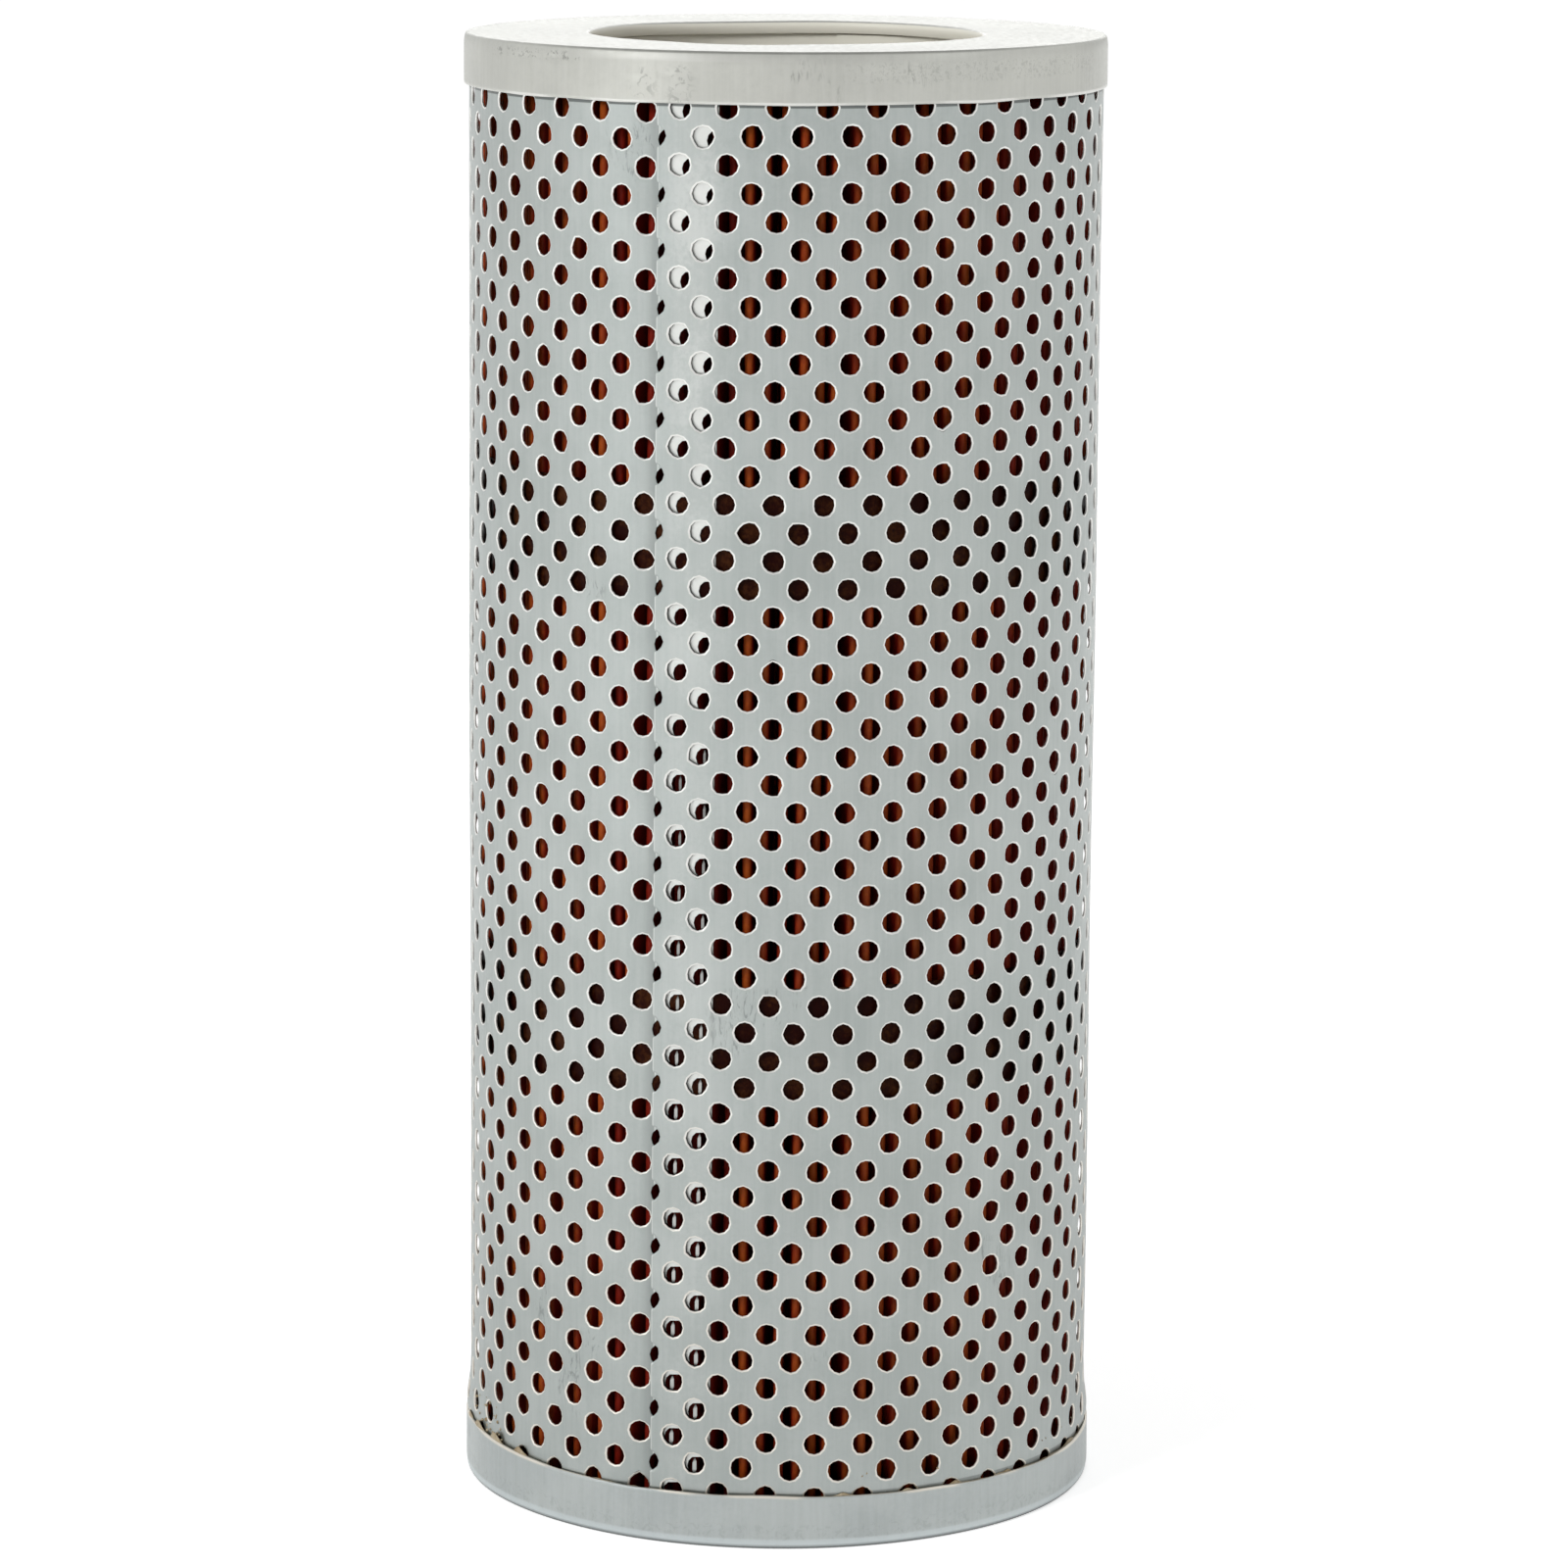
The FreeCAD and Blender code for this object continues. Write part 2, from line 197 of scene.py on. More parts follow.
class PunchedSheet:
    """A rolled sheet with staggered rows of punched holes and a lap seam.

    A place on the sheet is given by its column, in hole pitches from the outer cut
    edge, and its row, counted downwards. knots has rows of (column, angle, height of
    row 0, height between rows, drift), where drift is the angle gained per metre of
    height, and what lies between two knots is interpolated. torn has rows of (height,
    slot, notch): how many radii the holes under the lap are torn towards the seam.
    rows are the first row and the last, ends the lowest and highest edge, depths those
    of a rim and of the sheet, lap_gap the gap under the lap at both ends, bow how far
    the rows rise at half height, and shape a function that gives the sheet's bends.
    """

    def __init__(self, knots, rows, ends, radius, depths, lap_gap, bow, shape,
                 torn=((0.0, 0.0, 0.0), (1.0, 0.0, 0.0))):
        self.knots = np.array(knots)
        self.rows = rows
        self.ends = ends
        self.radius = radius
        self.depths = depths
        self.lap_gap = lap_gap
        self.bow = bow
        self.shape = shape
        self.torn = np.array(torn)
        self.columns = int(self.knots[-1, 0])
        first_angle = self.knots[0, 1]
        self.lap_column = np.interp(first_angle + 360, self.knots[:, 1], self.knots[:, 0])

    def angle(self, column, height):
        """The knots' angle, plus their drift in proportion to the height."""
        middle = (self.ends[0] + self.ends[1]) / 2
        straight = np.interp(column, self.knots[:, 0], self.knots[:, 1])
        return straight + np.interp(column, self.knots[:, 0], self.knots[:, 4]) * (height - middle)

    def height(self, column, row):
        """Height of row 0 less the row times the row pitch, both from the knots, and
        raised by the bow, a parabola over the rows that is 0 at both ends."""
        top = np.interp(column, self.knots[:, 0], self.knots[:, 2])
        share = np.clip(row / self.rows[1], 0, 1)
        rise = self.bow * 4 * share * (1 - share)
        return top - row * np.interp(column, self.knots[:, 0], self.knots[:, 3]) + rise

    def outside(self, column, height):
        """The outer radius: it steps in under the lap by the sheet and the gap, and
        the sheet's own dents and flares are added."""
        bottom, top = self.ends
        gap = np.interp(height, [bottom, top], self.lap_gap)
        under = soft_step(self.lap_column - 0.75, self.lap_column - 0.05, column)
        bent = self.shape(self.angle(column, height), height)
        return self.radius + bent - under * (self.depths[-1] + gap)

    def place(self, column, height, depth):
        """The point at a column and height, that deep under the outer face."""
        radius = self.outside(column, height) - depth
        return ring_points(radius, self.angle(column, height), height)

    def normal(self, column, height):
        """Outward normal: the radius less the slopes of the outer radius along it."""
        step = 0.05
        rise = 0.0004
        angle = self.angle(column, height)
        across = self.outside(column + step, height) - self.outside(column - step, height)
        turn = np.radians(self.angle(column + step, height) - self.angle(column - step, height))
        along = self.outside(column, height + rise) - self.outside(column, height - rise)
        radial = ring_points(1.0, angle, 0.0)
        round_way = ring_points(1.0, angle + 90, 0.0)
        upward = np.array([0.0, 0.0, 1.0])
        slope_round = across / (turn * self.radius)
        slope_up = along / (2 * rise)
        raw = radial - slope_round[..., None] * round_way - slope_up[..., None] * upward
        return raw / np.linalg.norm(raw, axis=-1, keepdims=True)

    def cell_corners(self):
        """Columns and heights of the cells' corners, on lines above and below each row
        of holes and at both ends."""
        lines = self.rows[1] - self.rows[0] + 4
        line, half = np.meshgrid(np.arange(lines), np.arange(2 * self.columns + 1),
                                 indexing="ij")
        column = half / 2
        height = self.height(column, line + self.rows[0] - 1.5)
        height[0] = self.ends[1]
        height[-1] = self.ends[0]
        return column, height

    def hole_cells(self):
        """Row and half column of every hole. Odd rows stand half a column aside."""
        rows = np.arange(self.rows[0], self.rows[1] + 1)
        per_row = np.where(rows % 2 == 0, self.columns + 1, self.columns)
        halves = [np.arange(row % 2, 2 * self.columns + 1, 2) for row in rows]
        return np.repeat(rows, per_row), np.concatenate(halves)

    def hole_edges(self, cell_half, hole_radius, rim_width, roughness, rng):
        """Radii of each hole's edge and of the start of its rim, at every corner: both
        uneven by chance, and about half of the holes have one small nick."""
        shape = (len(cell_half), HOLE_CORNERS)
        under = (cell_half / 2 > self.lap_column)[:, None]
        uneven = 1 + rng.normal(0, roughness, shape)
        nick = rng.integers(0, HOLE_CORNERS, len(cell_half))
        nick_size = rng.uniform(0.02, 0.12, len(cell_half))
        nick_size *= rng.random(len(cell_half)) < NICKED_SHARE
        uneven[np.arange(len(cell_half)), nick] += nick_size
        edge = hole_radius * np.where(under, 1.0, uneven)
        share = np.where(under, UNDER_RIM_SHARE, 1.0)
        return edge, edge + share * rim_width * rng.uniform(0.75, 1.1, shape)

    def hole_rings(self, cell_row, cell_half, hole_radius, edge, lip):
        """Points, normals and inward directions of the three rings of every hole, and
        the marks of the two that are bare metal. Under the lap the corners towards the
        seam are torn aside, and the walls over the lap reach down to the sheet below.
        A mark of 1 brightens a rim and its wall, partly as burnished metal and partly as a
        painted highlight; round the halved holes it is 0, and -1 under the lap and -4 on
        the walls over the lap paint them dark as painted shade."""
        rim_depth, sheet = self.depths
        spin = 2 * np.pi * np.arange(HOLE_CORNERS) / HOLE_CORNERS
        half = cell_half[:, None]
        last = 2 * self.columns
        under = half / 2 > self.lap_column
        middle_height = self.height(cell_half / 2, cell_row)[:, None]
        slot, notch = (np.interp(middle_height, self.torn[:, 0], self.torn[:, i]) for i in (1, 2))
        slot = np.where(half >= last - 1, slot, 0) + np.where(half == last - 2, notch, 0)
        slot = slot * hole_radius * (np.cos(spin) < -0.1)
        inside = np.clip(cell_half / 2, 0.5, self.columns - 0.5)
        pitch = self.angle(inside + 0.5, 0.0) - self.angle(inside - 0.5, 0.0)
        to_columns = 1 / (np.radians(pitch) * self.radius)[:, None]
        over_lap = np.isin(half, (1, 2)) & (np.cos(spin) < 0.3)
        gap = np.interp(middle_height, self.ends, self.lap_gap)
        burr = sheet + np.where(over_lap, BURR_SHARE * gap, 0.0)
        rings = []
        for reach, depth in ((lip, 0.0), (edge, rim_depth), (edge, burr)):
            across = half / 2 + (reach * np.cos(spin) - slot) * to_columns
            across = np.where(half == 0, across - CUT_EDGE_SHIFT, across)
            across = np.clip(across, 0, self.columns)
            up = middle_height + reach * np.sin(spin)
            round_way = ring_points(1.0, self.angle(across, up) + 90, 0.0)
            upward = np.array([0.0, 0.0, 1.0]) * np.sin(spin)[:, None]
            inward = -round_way * np.cos(spin)[:, None] - upward
            rings.append((self.place(across, up, depth), self.normal(across, up), inward))
        # Brighter rims, partly burnished and partly a painted highlight; painted shade under the
        # lap and on the walls over it
        rim_mark = np.where(under, -1.0, np.where(half == 0, 0.0, np.ones(edge.shape)))
        return rings, rim_mark, np.where(over_lap, -4.0, rim_mark)

    def build(self, hole_radius, rim_width, roughness, rng):
        """Points, smooth faces, cut faces, corner normals and rim marks of the sheet.

        A hole has three rings of twelve corners: where its rolled-over rim starts, the
        rim's edge, and the far edge of its wall. Between a hole and the six corners of
        its cell either face has eighteen triangles. Holes on a cut edge are halved.
        """
        column, height = self.cell_corners()
        lines, halves = column.shape
        net = [self.place(column, height, depth) for depth in (0.0, self.depths[1])]
        net_normal = self.normal(column, height)
        net_size = lines * halves
        cell_row, cell_half = self.hole_cells()
        edge, lip = self.hole_edges(cell_half, hole_radius, rim_width, roughness, rng)
        rings, rim_mark, wall_mark = self.hole_rings(cell_row, cell_half, hole_radius, edge, lip)

        points = [part.reshape(-1, 3) for part in (*net, *(ring[0] for ring in rings))]
        points = np.concatenate(points)
        ring_size = rim_mark.size
        plain = np.zeros(2 * net_size + ring_size)
        marks = np.concatenate([plain, rim_mark.ravel(), wall_mark.ravel()])

        def normals_with(leans):
            """Normals of all points, those of the rings leaning by so much inwards."""
            parts = [net_normal, -net_normal]
            parts += [normal * np.cos(lean) + inward * np.sin(lean)
                      for (_, normal, inward), lean in zip(rings, leans)]
            return np.concatenate([part.reshape(-1, 3) for part in parts])

        leaning = {"web": normals_with((0.0, 0.0, np.pi)),
                   "rim": normals_with((0.12, 0.6, np.pi)),
                   "wall": normals_with((0.0, 1.4, 1.6))}
        above = cell_row - self.rows[0] + 1

        def hole(level, corner, chosen):
            """Point numbers of one corner in a ring of each chosen hole."""
            first = 2 * net_size + level * ring_size
            return first + chosen * HOLE_CORNERS + corner % HOLE_CORNERS

        def knot(face, corner, chosen):
            """Point numbers of one corner of each chosen hole's cell."""
            to_side, down = CELL_CORNERS[corner % 6]
            index = (above[chosen] + down) * halves + cell_half[chosen] + to_side
            return face * net_size + index

        grid = np.arange(net_size).reshape(lines, halves)
        made = self.hole_faces(hole, knot, cell_half)
        for strip in (grid[0:2], grid[-2:]):
            quads = np.stack([
                strip[0, :-1], strip[1, :-1], strip[1, 1:], strip[0, 1:],
            ], axis=1)
            made += [("web", quads), ("web", quads[:, ::-1] + net_size)]
        faces = [corners for _, corners in made]
        normals = [leaning[kind][corners] for kind, corners in made]
        cuts = self.cut_faces(hole, knot, grid, above, cell_half)
        return points, faces, cuts, normals, marks

    def hole_faces(self, hole, knot, cell_half):
        """Rows of (kind, corners): in each sector of every cell, three triangles of
        either face of the web, and two quads each of the rim and of the wall."""
        made = []
        for sector in range(6):
            whole = cell_half < 2 * self.columns if sector in RIGHT_SECTORS else cell_half > 0
            c = np.flatnonzero(whole)
            first = 2 * sector + 1
            for face, level in ((0, 0), (1, 2)):
                a, b, d = (hole(level, first + i, c) for i in range(3))
                k, m = knot(face, sector, c), knot(face, sector + 1, c)
                for corners in ((a, k, b), (b, k, m), (b, m, d)):
                    order = corners if face == 0 else corners[::-1]
                    made.append(("web", np.stack(order, axis=1)))
            for i in range(2):
                for near, far, kind in ((1, 0, "rim"), (2, 1, "wall")):
                    made.append((kind, np.stack([
                        hole(near, first + i, c), hole(far, first + i, c),
                        hole(far, first + i + 1, c), hole(near, first + i + 1, c),
                    ], axis=1)))
        return made

    def cut_faces(self, hole, knot, grid, above, cell_half):
        """Faces of the cut edges: up both sides, beside the halved holes, then round
        both ends."""
        far = grid.size
        cuts = []
        for side, turned in ((0, slice(None)), (2 * self.columns, slice(None, None, -1))):
            whole = np.array([0, len(grid) - 2, *above[cell_half == 1]])
            top, low = grid[whole, side], grid[whole + 1, side]
            halved = np.flatnonzero(cell_half == side)
            over, under = knot(0, 1, halved), knot(0, 4, halved)
            upper, lower = ([hole(level, corner, halved) for level in (0, 1, 2)]
                            for corner in (3, 9))
            for edges in ((top, top + far, low + far, low), (over, over + far, *upper[::-1]),
                          (under + far, under, *lower)):
                cuts.append(np.stack(edges, axis=1)[:, turned])
        for end in (grid[0, ::-1], grid[-1]):
            cuts.append(np.stack([end[:-1], end[:-1] + far, end[1:] + far, end[1:]], axis=1))
        return cuts


def lap_slivers(sheet, hole_radius, first_point):
    """The slivers of metal left standing in the torn holes under the lap, as upright
    bars with four levels of four corners, narrow at both ends: each stands towards the
    seam from the middle of its hole, further from it near the foot. Points, faces,
    ends, marks; the marks, all below 0, darken the bars as painted shade."""
    low, high = 0.018, 0.165
    near, far = 0.00008, 0.0004
    half_height, slant = 0.0016, 0.00015
    rows = np.arange(sheet.rows[0] + 1, sheet.rows[1])
    column = np.where(rows % 2 == 0, sheet.columns, sheet.columns - 0.5)
    middle = sheet.height(column, rows)
    keep = middle < high
    column, middle = column[keep, None, None], middle[keep, None, None]
    step = np.radians(sheet.knots[-1, 1] - sheet.knots[-2, 1]) * sheet.radius
    step /= sheet.knots[-1, 0] - sheet.knots[-2, 0]
    aside = np.interp(middle, (low, LAP_SEAM[2]), (-1.50, -0.95)) * hole_radius
    level = np.array([-1.0, -0.5, 0.5, 1.0])[:, None]
    half = np.interp(middle, (low, high), (0.00040, 0.00024)) * (1.1 - 0.8 * level ** 4)
    side = np.array([-1.0, 1.0, 1.0, -1.0])
    depth = np.array([near, near, far, far])
    across = column + (aside + side * half) / step
    height = middle + level * half_height + slant * side
    points = sheet.place(across, height, depth)
    first = first_point + np.arange(len(points))[:, None, None] * level.size * side.size
    sides = grid_faces(level.size, side.size, wrap_columns=True)[None] + first
    ends = np.array([[3, 2, 1, 0], [12, 13, 14, 15]])[None] + first
    # Painted shade on the bars: darker with the height, and darkest on their top and bottom levels
    sliver_shade = np.interp(middle, (0.02, 0.06, 0.10, 0.15), (-0.32, -0.32, -0.4, -0.6))
    marks = np.where(np.abs(level) == 1, -0.8, sliver_shade + 0 * side)
    return points.reshape(-1, 3), sides.reshape(-1, 4), ends.reshape(-1, 4), marks.ravel()


def shell_bend(degrees, height):
    """Flares of the outer shell's foot, as a sum of bell curves, and a slow wave."""
    bent = 0.0
    for angle, level, depth, wide, high in SHELL_FLARES:
        bent = bent + depth * bell_round(degrees, angle, wide) * hump(height, level, high)
    rng = np.random.default_rng(5)
    return bent + 0.00012 * wave_noise(rng, 6, degrees, height, 0.12)


def tube_bend(degrees, height):
    """The centre tube is true to within a few hundredths of a millimetre."""
    rng = np.random.default_rng(8)
    return 0.00004 * wave_noise(rng, 5, degrees, height, 0.15)


# Folded paper and wrap bands


def grid_faces(rows, columns, wrap_rows=False, wrap_columns=False):
    """Quads of a grid of points, numbered row by row; wrapped ways close on themselves."""
    index = np.arange(rows * columns).reshape(rows, columns)
    if wrap_rows:
        index = np.concatenate([index, index[:1]])
    if wrap_columns:
        index = np.concatenate([index, index[:, :1]], axis=1)
    return np.stack([
        index[:-1, :-1], index[:-1, 1:], index[1:, 1:], index[1:, :-1],
    ], axis=-1).reshape(-1, 4)


def folded_paper(folds, inner, outer, thickness, rng):
    """Closed ring of folds. Each fold's section is an arc over its back, a straight
    flank, a narrower arc round its root and a flank back. Every back has its own depth
    and lean, and sways with the height. The wall is offset along the section's normal.
    """
    pitch = 2 * np.pi * outer / folds
    back_half, root_half = 0.27 * pitch, 0.17 * pitch
    over = np.radians(np.linspace(-90, 90, 9))
    under = np.radians(np.linspace(-90, 90, 5))
    aside = np.concatenate([back_half * np.sin(over), pitch / 2 + root_half * np.sin(under)])
    reach = np.concatenate([
        outer - back_half + back_half * np.cos(over), inner + root_half - root_half * np.cos(under)
    ])
    # How much of the painted highlight of a back each point takes: most on its crest, none round
    # the roots
    is_back = np.concatenate([0.25 + 0.75 * np.cos(over) ** 0.7, np.zeros(len(under))])
    moves = np.concatenate([np.ones(len(over)), np.zeros(len(under))])
    own = np.repeat(np.arange(folds), len(aside))
    turn = np.degrees(np.tile(aside, folds) / outer) + own * 360 / folds
    sunk = rng.uniform(0, 0.0006, folds) + 0.0010 * (rng.random(folds) < 0.25)
    tone = np.random.default_rng(3).uniform(0.72, 1, folds)
    for start, stop, deeper, share in DARK_FOLDS:
        near = slice(folds * start // 360, folds * stop // 360 + 1)
        sunk[near] += deeper
        tone[near] *= share
    lean = rng.normal(0, 0.28, folds)
    levels = np.linspace(PAPER_BOTTOM, PAPER_TOP, 13)
    height, turn_grid = np.meshgrid(levels, turn, indexing="ij")
    backs = np.tile(moves, folds)
    sway = 0.16 * wave_noise(rng, 9, own[None, :] * 360 / folds, height, 0.10)
    degrees = turn_grid + backs * (lean[own] + sway)
    radius = np.tile(reach, folds) - backs * sunk[own] + 0 * height
    line = ring_points(radius, degrees, height)
    along = np.roll(line, -1, axis=1) - np.roll(line, 1, axis=1)
    normal = np.stack([along[..., 1], -along[..., 0], np.zeros_like(radius)], axis=-1)
    normal /= np.linalg.norm(normal, axis=-1, keepdims=True)
    walls = [line, line - thickness * normal]
    across = len(own)
    count = len(levels) * across
    outer_faces = grid_faces(len(levels), across, wrap_columns=True)
    ends = []
    for start, order in ((0, slice(None, None, -1)), (count - across, slice(None))):
        near = np.arange(start, start + across)
        far = np.roll(near, -1)
        ends.append(np.stack([near, far, far + count, near + count], axis=1)[:, order])
    # Marks for the paper's material: amber backs as a painted highlight that gives way to the deep
    # colour of the folds as painted shade, by a random share for each fold that DARK_FOLDS cut down
    marks = np.broadcast_to(np.tile(is_back, folds) * tone[own], height.shape)
    points = np.concatenate([wall.reshape(-1, 3) for wall in walls])
    faces = [outer_faces, outer_faces[:, ::-1] + count]
    return points, faces, ends, np.concatenate([marks.ravel()] * 2)


def turned_ring(profile, segments, lower_bend):
    """A closed section of (radius, height) points turned round Z; lower_bend(degrees,
    radius, height) gives how far each point moves outwards and upwards."""
    profile = np.array(profile)
    degrees = np.arange(segments) * 360 / segments
    angle, index = np.meshgrid(degrees, np.arange(len(profile)), indexing="ij")
    radius, height = profile[index, 0], profile[index, 1]
    out, up = lower_bend(angle, radius, height)
    return ring_points(radius + out, angle, height + up), grid_faces(
        segments, len(profile), wrap_rows=True, wrap_columns=True
    )


def cap_marks(points, bore, skirt, rim_highlight, shoulder):
    """Marks of a cap's brighter metal: the rim's painted highlight along the sheared rim
    of its skirt, the shoulder's painted highlight round its rounded shoulder, 1 round the
    bore and 0 elsewhere, with soft steps between them."""
    radius = np.hypot(points[..., 0], points[..., 1])
    rim = soft_step(skirt - 0.00022, skirt - 0.00006, points[..., 2])
    outer = radius > bore + 0.005
    band = soft_step(0.0003, 0.0008, points[..., 2]) * soft_step(0.0025, 0.0017, points[..., 2])
    lip = soft_step(bore + 0.0009, bore, radius)
    return np.maximum(rim_highlight * rim * outer, lip) + shoulder * band * outer


def arc(centre, radius, start, stop, steps):
    """Points of an arc in the half section, from one angle in degrees to another."""
    angle = np.radians(np.linspace(start, stop, steps))
    return np.stack([
        centre[0] + radius * np.cos(angle), centre[1] + radius * np.sin(angle)
    ], axis=1)


def wrap_band(middle, height, folds, rng):
    """A thin strip round the folds: its radius dips between the folds by a cosine of
    their number, and its edges wander by a slow wave."""
    degrees = np.arange(folds * 6) * 360 / (folds * 6)
    across = np.array([1, 0.96, 0.6, 0.2, -0.2, -0.6, -0.96, -1])
    angle, way = np.meshgrid(degrees, across, indexing="ij")
    dip, bevel, stray = 0.00009, 0.00008, 0.0003
    base = BAND_RADIUS + dip * np.cos(np.radians(angle * folds))
    base -= bevel * (np.abs(way) > 0.99)
    wander = stray * wave_noise(rng, 5, angle, way * 0.01, 0.05)
    level = middle + wander + way * height / 2
    outside = ring_points(base + BAND_THICKNESS, angle, level)
    inside = ring_points(base, angle, level)
    points = np.concatenate([outside, inside[:, ::-1]], axis=1)
    faces = grid_faces(len(degrees), 2 * len(across), wrap_rows=True, wrap_columns=True)
    return points, faces


# Pressed caps and adhesive

# The turns of a cap's points, one row of points each
CAP_DEGREES = np.arange(360)[:, None]
BEAD_SEGMENTS = 720

# Dents of the skirts: (angle, height, depth, half width in degrees, half width upwards)
UPPER_DENTS = ((-26.5, 0.0045, 0.00022, 1.1, 0.0012), (-23.5, 0.0075, 0.00018, 0.8, 0.0016),
               (-20.0, 0.0050, 0.00026, 1.0, 0.0010), (-18.0, 0.0035, 0.00020, 0.7, 0.0012),
               (-19.0, 0.0080, 0.00016, 1.2, 0.0010), (-44.0, 0.0024, 0.00016, 2.0, 0.0006),
               (-52.0, 0.0026, 0.00014, 1.5, 0.0007), (16.0, 0.0050, 0.00008, 4.0, 0.0020))
LOWER_DENTS = ((24.0, 0.0060, 0.00008, 5.0, 0.0030), (-61.0, 0.0088, 0.00015, 2.0, 0.0010))

# Rises of the adhesive's bead: (angle, rise, half width in degrees). It follows the
# lower rim, and blobs stand in holes that the rim cuts and along the rim.
BEAD_BLOBS = (*RIM_WAVES, (-72.3, 0.0016, 2.0), (-63.4, 0.0017, 1.8), (-54.1, 0.0017, 1.7),
              (-80.0, 0.0010, 1.8), (12.0, 0.0007, 1.0), (24.0, 0.0007, 1.5),
              (34.0, 0.0008, 1.2), (47.0, 0.0007, 1.0), (70.0, 0.0009, 2.0),
              (150.0, 0.0013, 2.5), (205.0, 0.0011, 4.0))


def cap_profile(radius, height, sheet, corner, shoulder, lean, bore, lip_corner, lip_height):
    """Half section of the lower cap, clockwise: down the skirt, round a wide shoulder
    that leans in and a tight corner, in along the end face, round the lip and up the
    bore, then back along the inside."""
    tilt = np.radians(lean)
    turned = shoulder - corner
    start = corner + turned * np.sin(tilt)
    wide = (radius - shoulder, start)
    foot = (radius - shoulder + turned * np.cos(tilt), corner)
    lip = (bore + lip_corner, lip_corner)
    soft = 0.00015
    skirt = np.linspace(height - soft, start + 0.0003, 14)
    face = np.linspace(foot[0] - 0.0003, lip[0] + 0.0003, 10)
    return np.concatenate([
        [(radius - soft, height)],
        np.stack([np.full_like(skirt, radius), skirt], axis=1),
        arc(wide, shoulder, 0, -lean, 5),
        arc(foot, corner, -lean, -90, 8)[1:],
        np.stack([face, np.zeros_like(face)], axis=1),
        arc(lip, lip_corner, -90, -180, 6),
        [(bore, lip_height - soft), (bore + soft, lip_height)],
        [(bore + sheet - soft, lip_height), (bore + sheet, lip_height - soft)],
        arc(lip, lip_corner - sheet, -180, -90, 4),
        arc(foot, corner - sheet, -90, -lean, 4),
        arc(wide, shoulder - sheet, -lean, 0, 4)[1:],
        [(radius - sheet, height - soft), (radius - sheet + soft, height)],
    ])


def pressed_cap(bend_seed, dents):
    """Bend of a cap: a slow wave of the skirt and of its rim, and dents as bell curves
    of (angle, height, depth, half width in degrees, half width upwards)."""
    def bend(degrees, radius, height):
        rng = np.random.default_rng(bend_seed)
        skirt = soft_step(CAP_RADIUS - 0.0030, CAP_RADIUS - 0.0007, radius)
        rim = soft_step(0.004, CAP_HEIGHT, height)
        out = 0.00009 * skirt * wave_noise(rng, 9, degrees, height, 0.04)
        up = 0.00012 * rim * wave_noise(rng, 23, degrees, 0 * height, 1.0)
        up += 0.00012 * (1 - skirt) * wave_noise(rng, 5, degrees, radius, 0.03)
        for angle, level, depth, wide, high in dents:
            pit = bell_round(degrees, angle, wide) * hump(height, level, high)
            out -= depth * skirt * pit
        return out, np.maximum(up, -height * 0.2)
    return bend


def adhesive_profile(cap_radius, sheet, corner, inner, foot_top, shell, bead):
    """Half section of the adhesive in the lower cap, clockwise: from the bead at the
    rim down inside the skirt, across the foot, and up along the outer shell."""
    skirt = cap_radius - sheet - SKIN
    hollow = (cap_radius - corner, corner)
    return np.concatenate([
        [(skirt + 0.00022, bead - 0.00030), (skirt, bead - 0.00040)],
        arc(hollow, corner - sheet - SKIN, 0, -90, 6),
        [(inner, sheet + SKIN), (inner, foot_top), (shell, foot_top)],
        [(shell, bead), (shell + 0.00010, bead + 0.00018), (shell + 0.00026, bead + 0.00012)],
        [(skirt + 0.00014, bead - 0.00008)],
    ])


def squeezed_bead(bead, blobs, seed):
    """Bend of the adhesive: above the rim it swells by a rough wave, and by blobs as
    bell curves of (angle, rise, half width in degrees)."""
    def bend(degrees, radius, height):
        rng = np.random.default_rng(seed)
        top = soft_step(bead - 0.00060, bead, height)
        rough = wave_noise(rng, 60, degrees, 0 * height, 1.0)
        rough += 0.7 * wave_noise(rng, 150, degrees, 0 * height, 1.0)
        up = 0.00012 * rough
        out = 0.00005 * np.abs(rough)
        for angle, rise, wide in blobs:
            lump = bell_round(degrees, angle, wide)
            up += rise * lump
            out += 0.25 * rise * lump
        return out * top, up * top
    return bend


def crumbs(places, rng):
    """Small lumps of adhesive: spheres of (angle, height, size), each stretched along
    its axes by random amounts and roughened by a wave of its own directions."""
    around, upward = np.meshgrid(
        np.arange(CRUMB_SIDES) * 2 * np.pi / CRUMB_SIDES,
        np.linspace(0.02, np.pi - 0.02, CRUMB_LEVELS), indexing="ij",
    )
    ball = np.stack([
        np.sin(upward) * np.cos(around), np.sin(upward) * np.sin(around), -np.cos(upward)
    ], axis=-1)
    angle, height, size = np.array(places).T
    stretch = rng.uniform(0.6, 1.3, (len(places), 1, 1, 3))
    rough = 1 + 0.2 * np.sin(3 * around + 2 * upward)[None, :, :, None]
    middle = ring_points(SHELL_RADIUS - 0.0001, angle, height)[:, None, None, :]
    points = middle + ball * rough * stretch * size[:, None, None, None]
    faces = grid_faces(CRUMB_SIDES, CRUMB_LEVELS, wrap_rows=True)[:, ::-1]
    pole = np.arange(CRUMB_SIDES) * CRUMB_LEVELS
    each = np.arange(len(places))[:, None, None] * CRUMB_SIDES * CRUMB_LEVELS
    sides = (faces[None] + each).reshape(-1, 4)
    caps = np.stack([pole, pole[::-1] + CRUMB_LEVELS - 1])
    ends = (caps[None] + each).reshape(-1, CRUMB_SIDES)
    return points.reshape(-1, 3), sides, ends


# Materials

CREAM_DUST = (0.80, 0.70, 0.56)
# Black of the painted shade in the gaps under and over the lap
PAINTED_SHADE_BLACK = (0.012, 0.011, 0.009)
PALE_COAT = (0.90, 0.88, 0.78)
COAT_METALLIC = 0.1


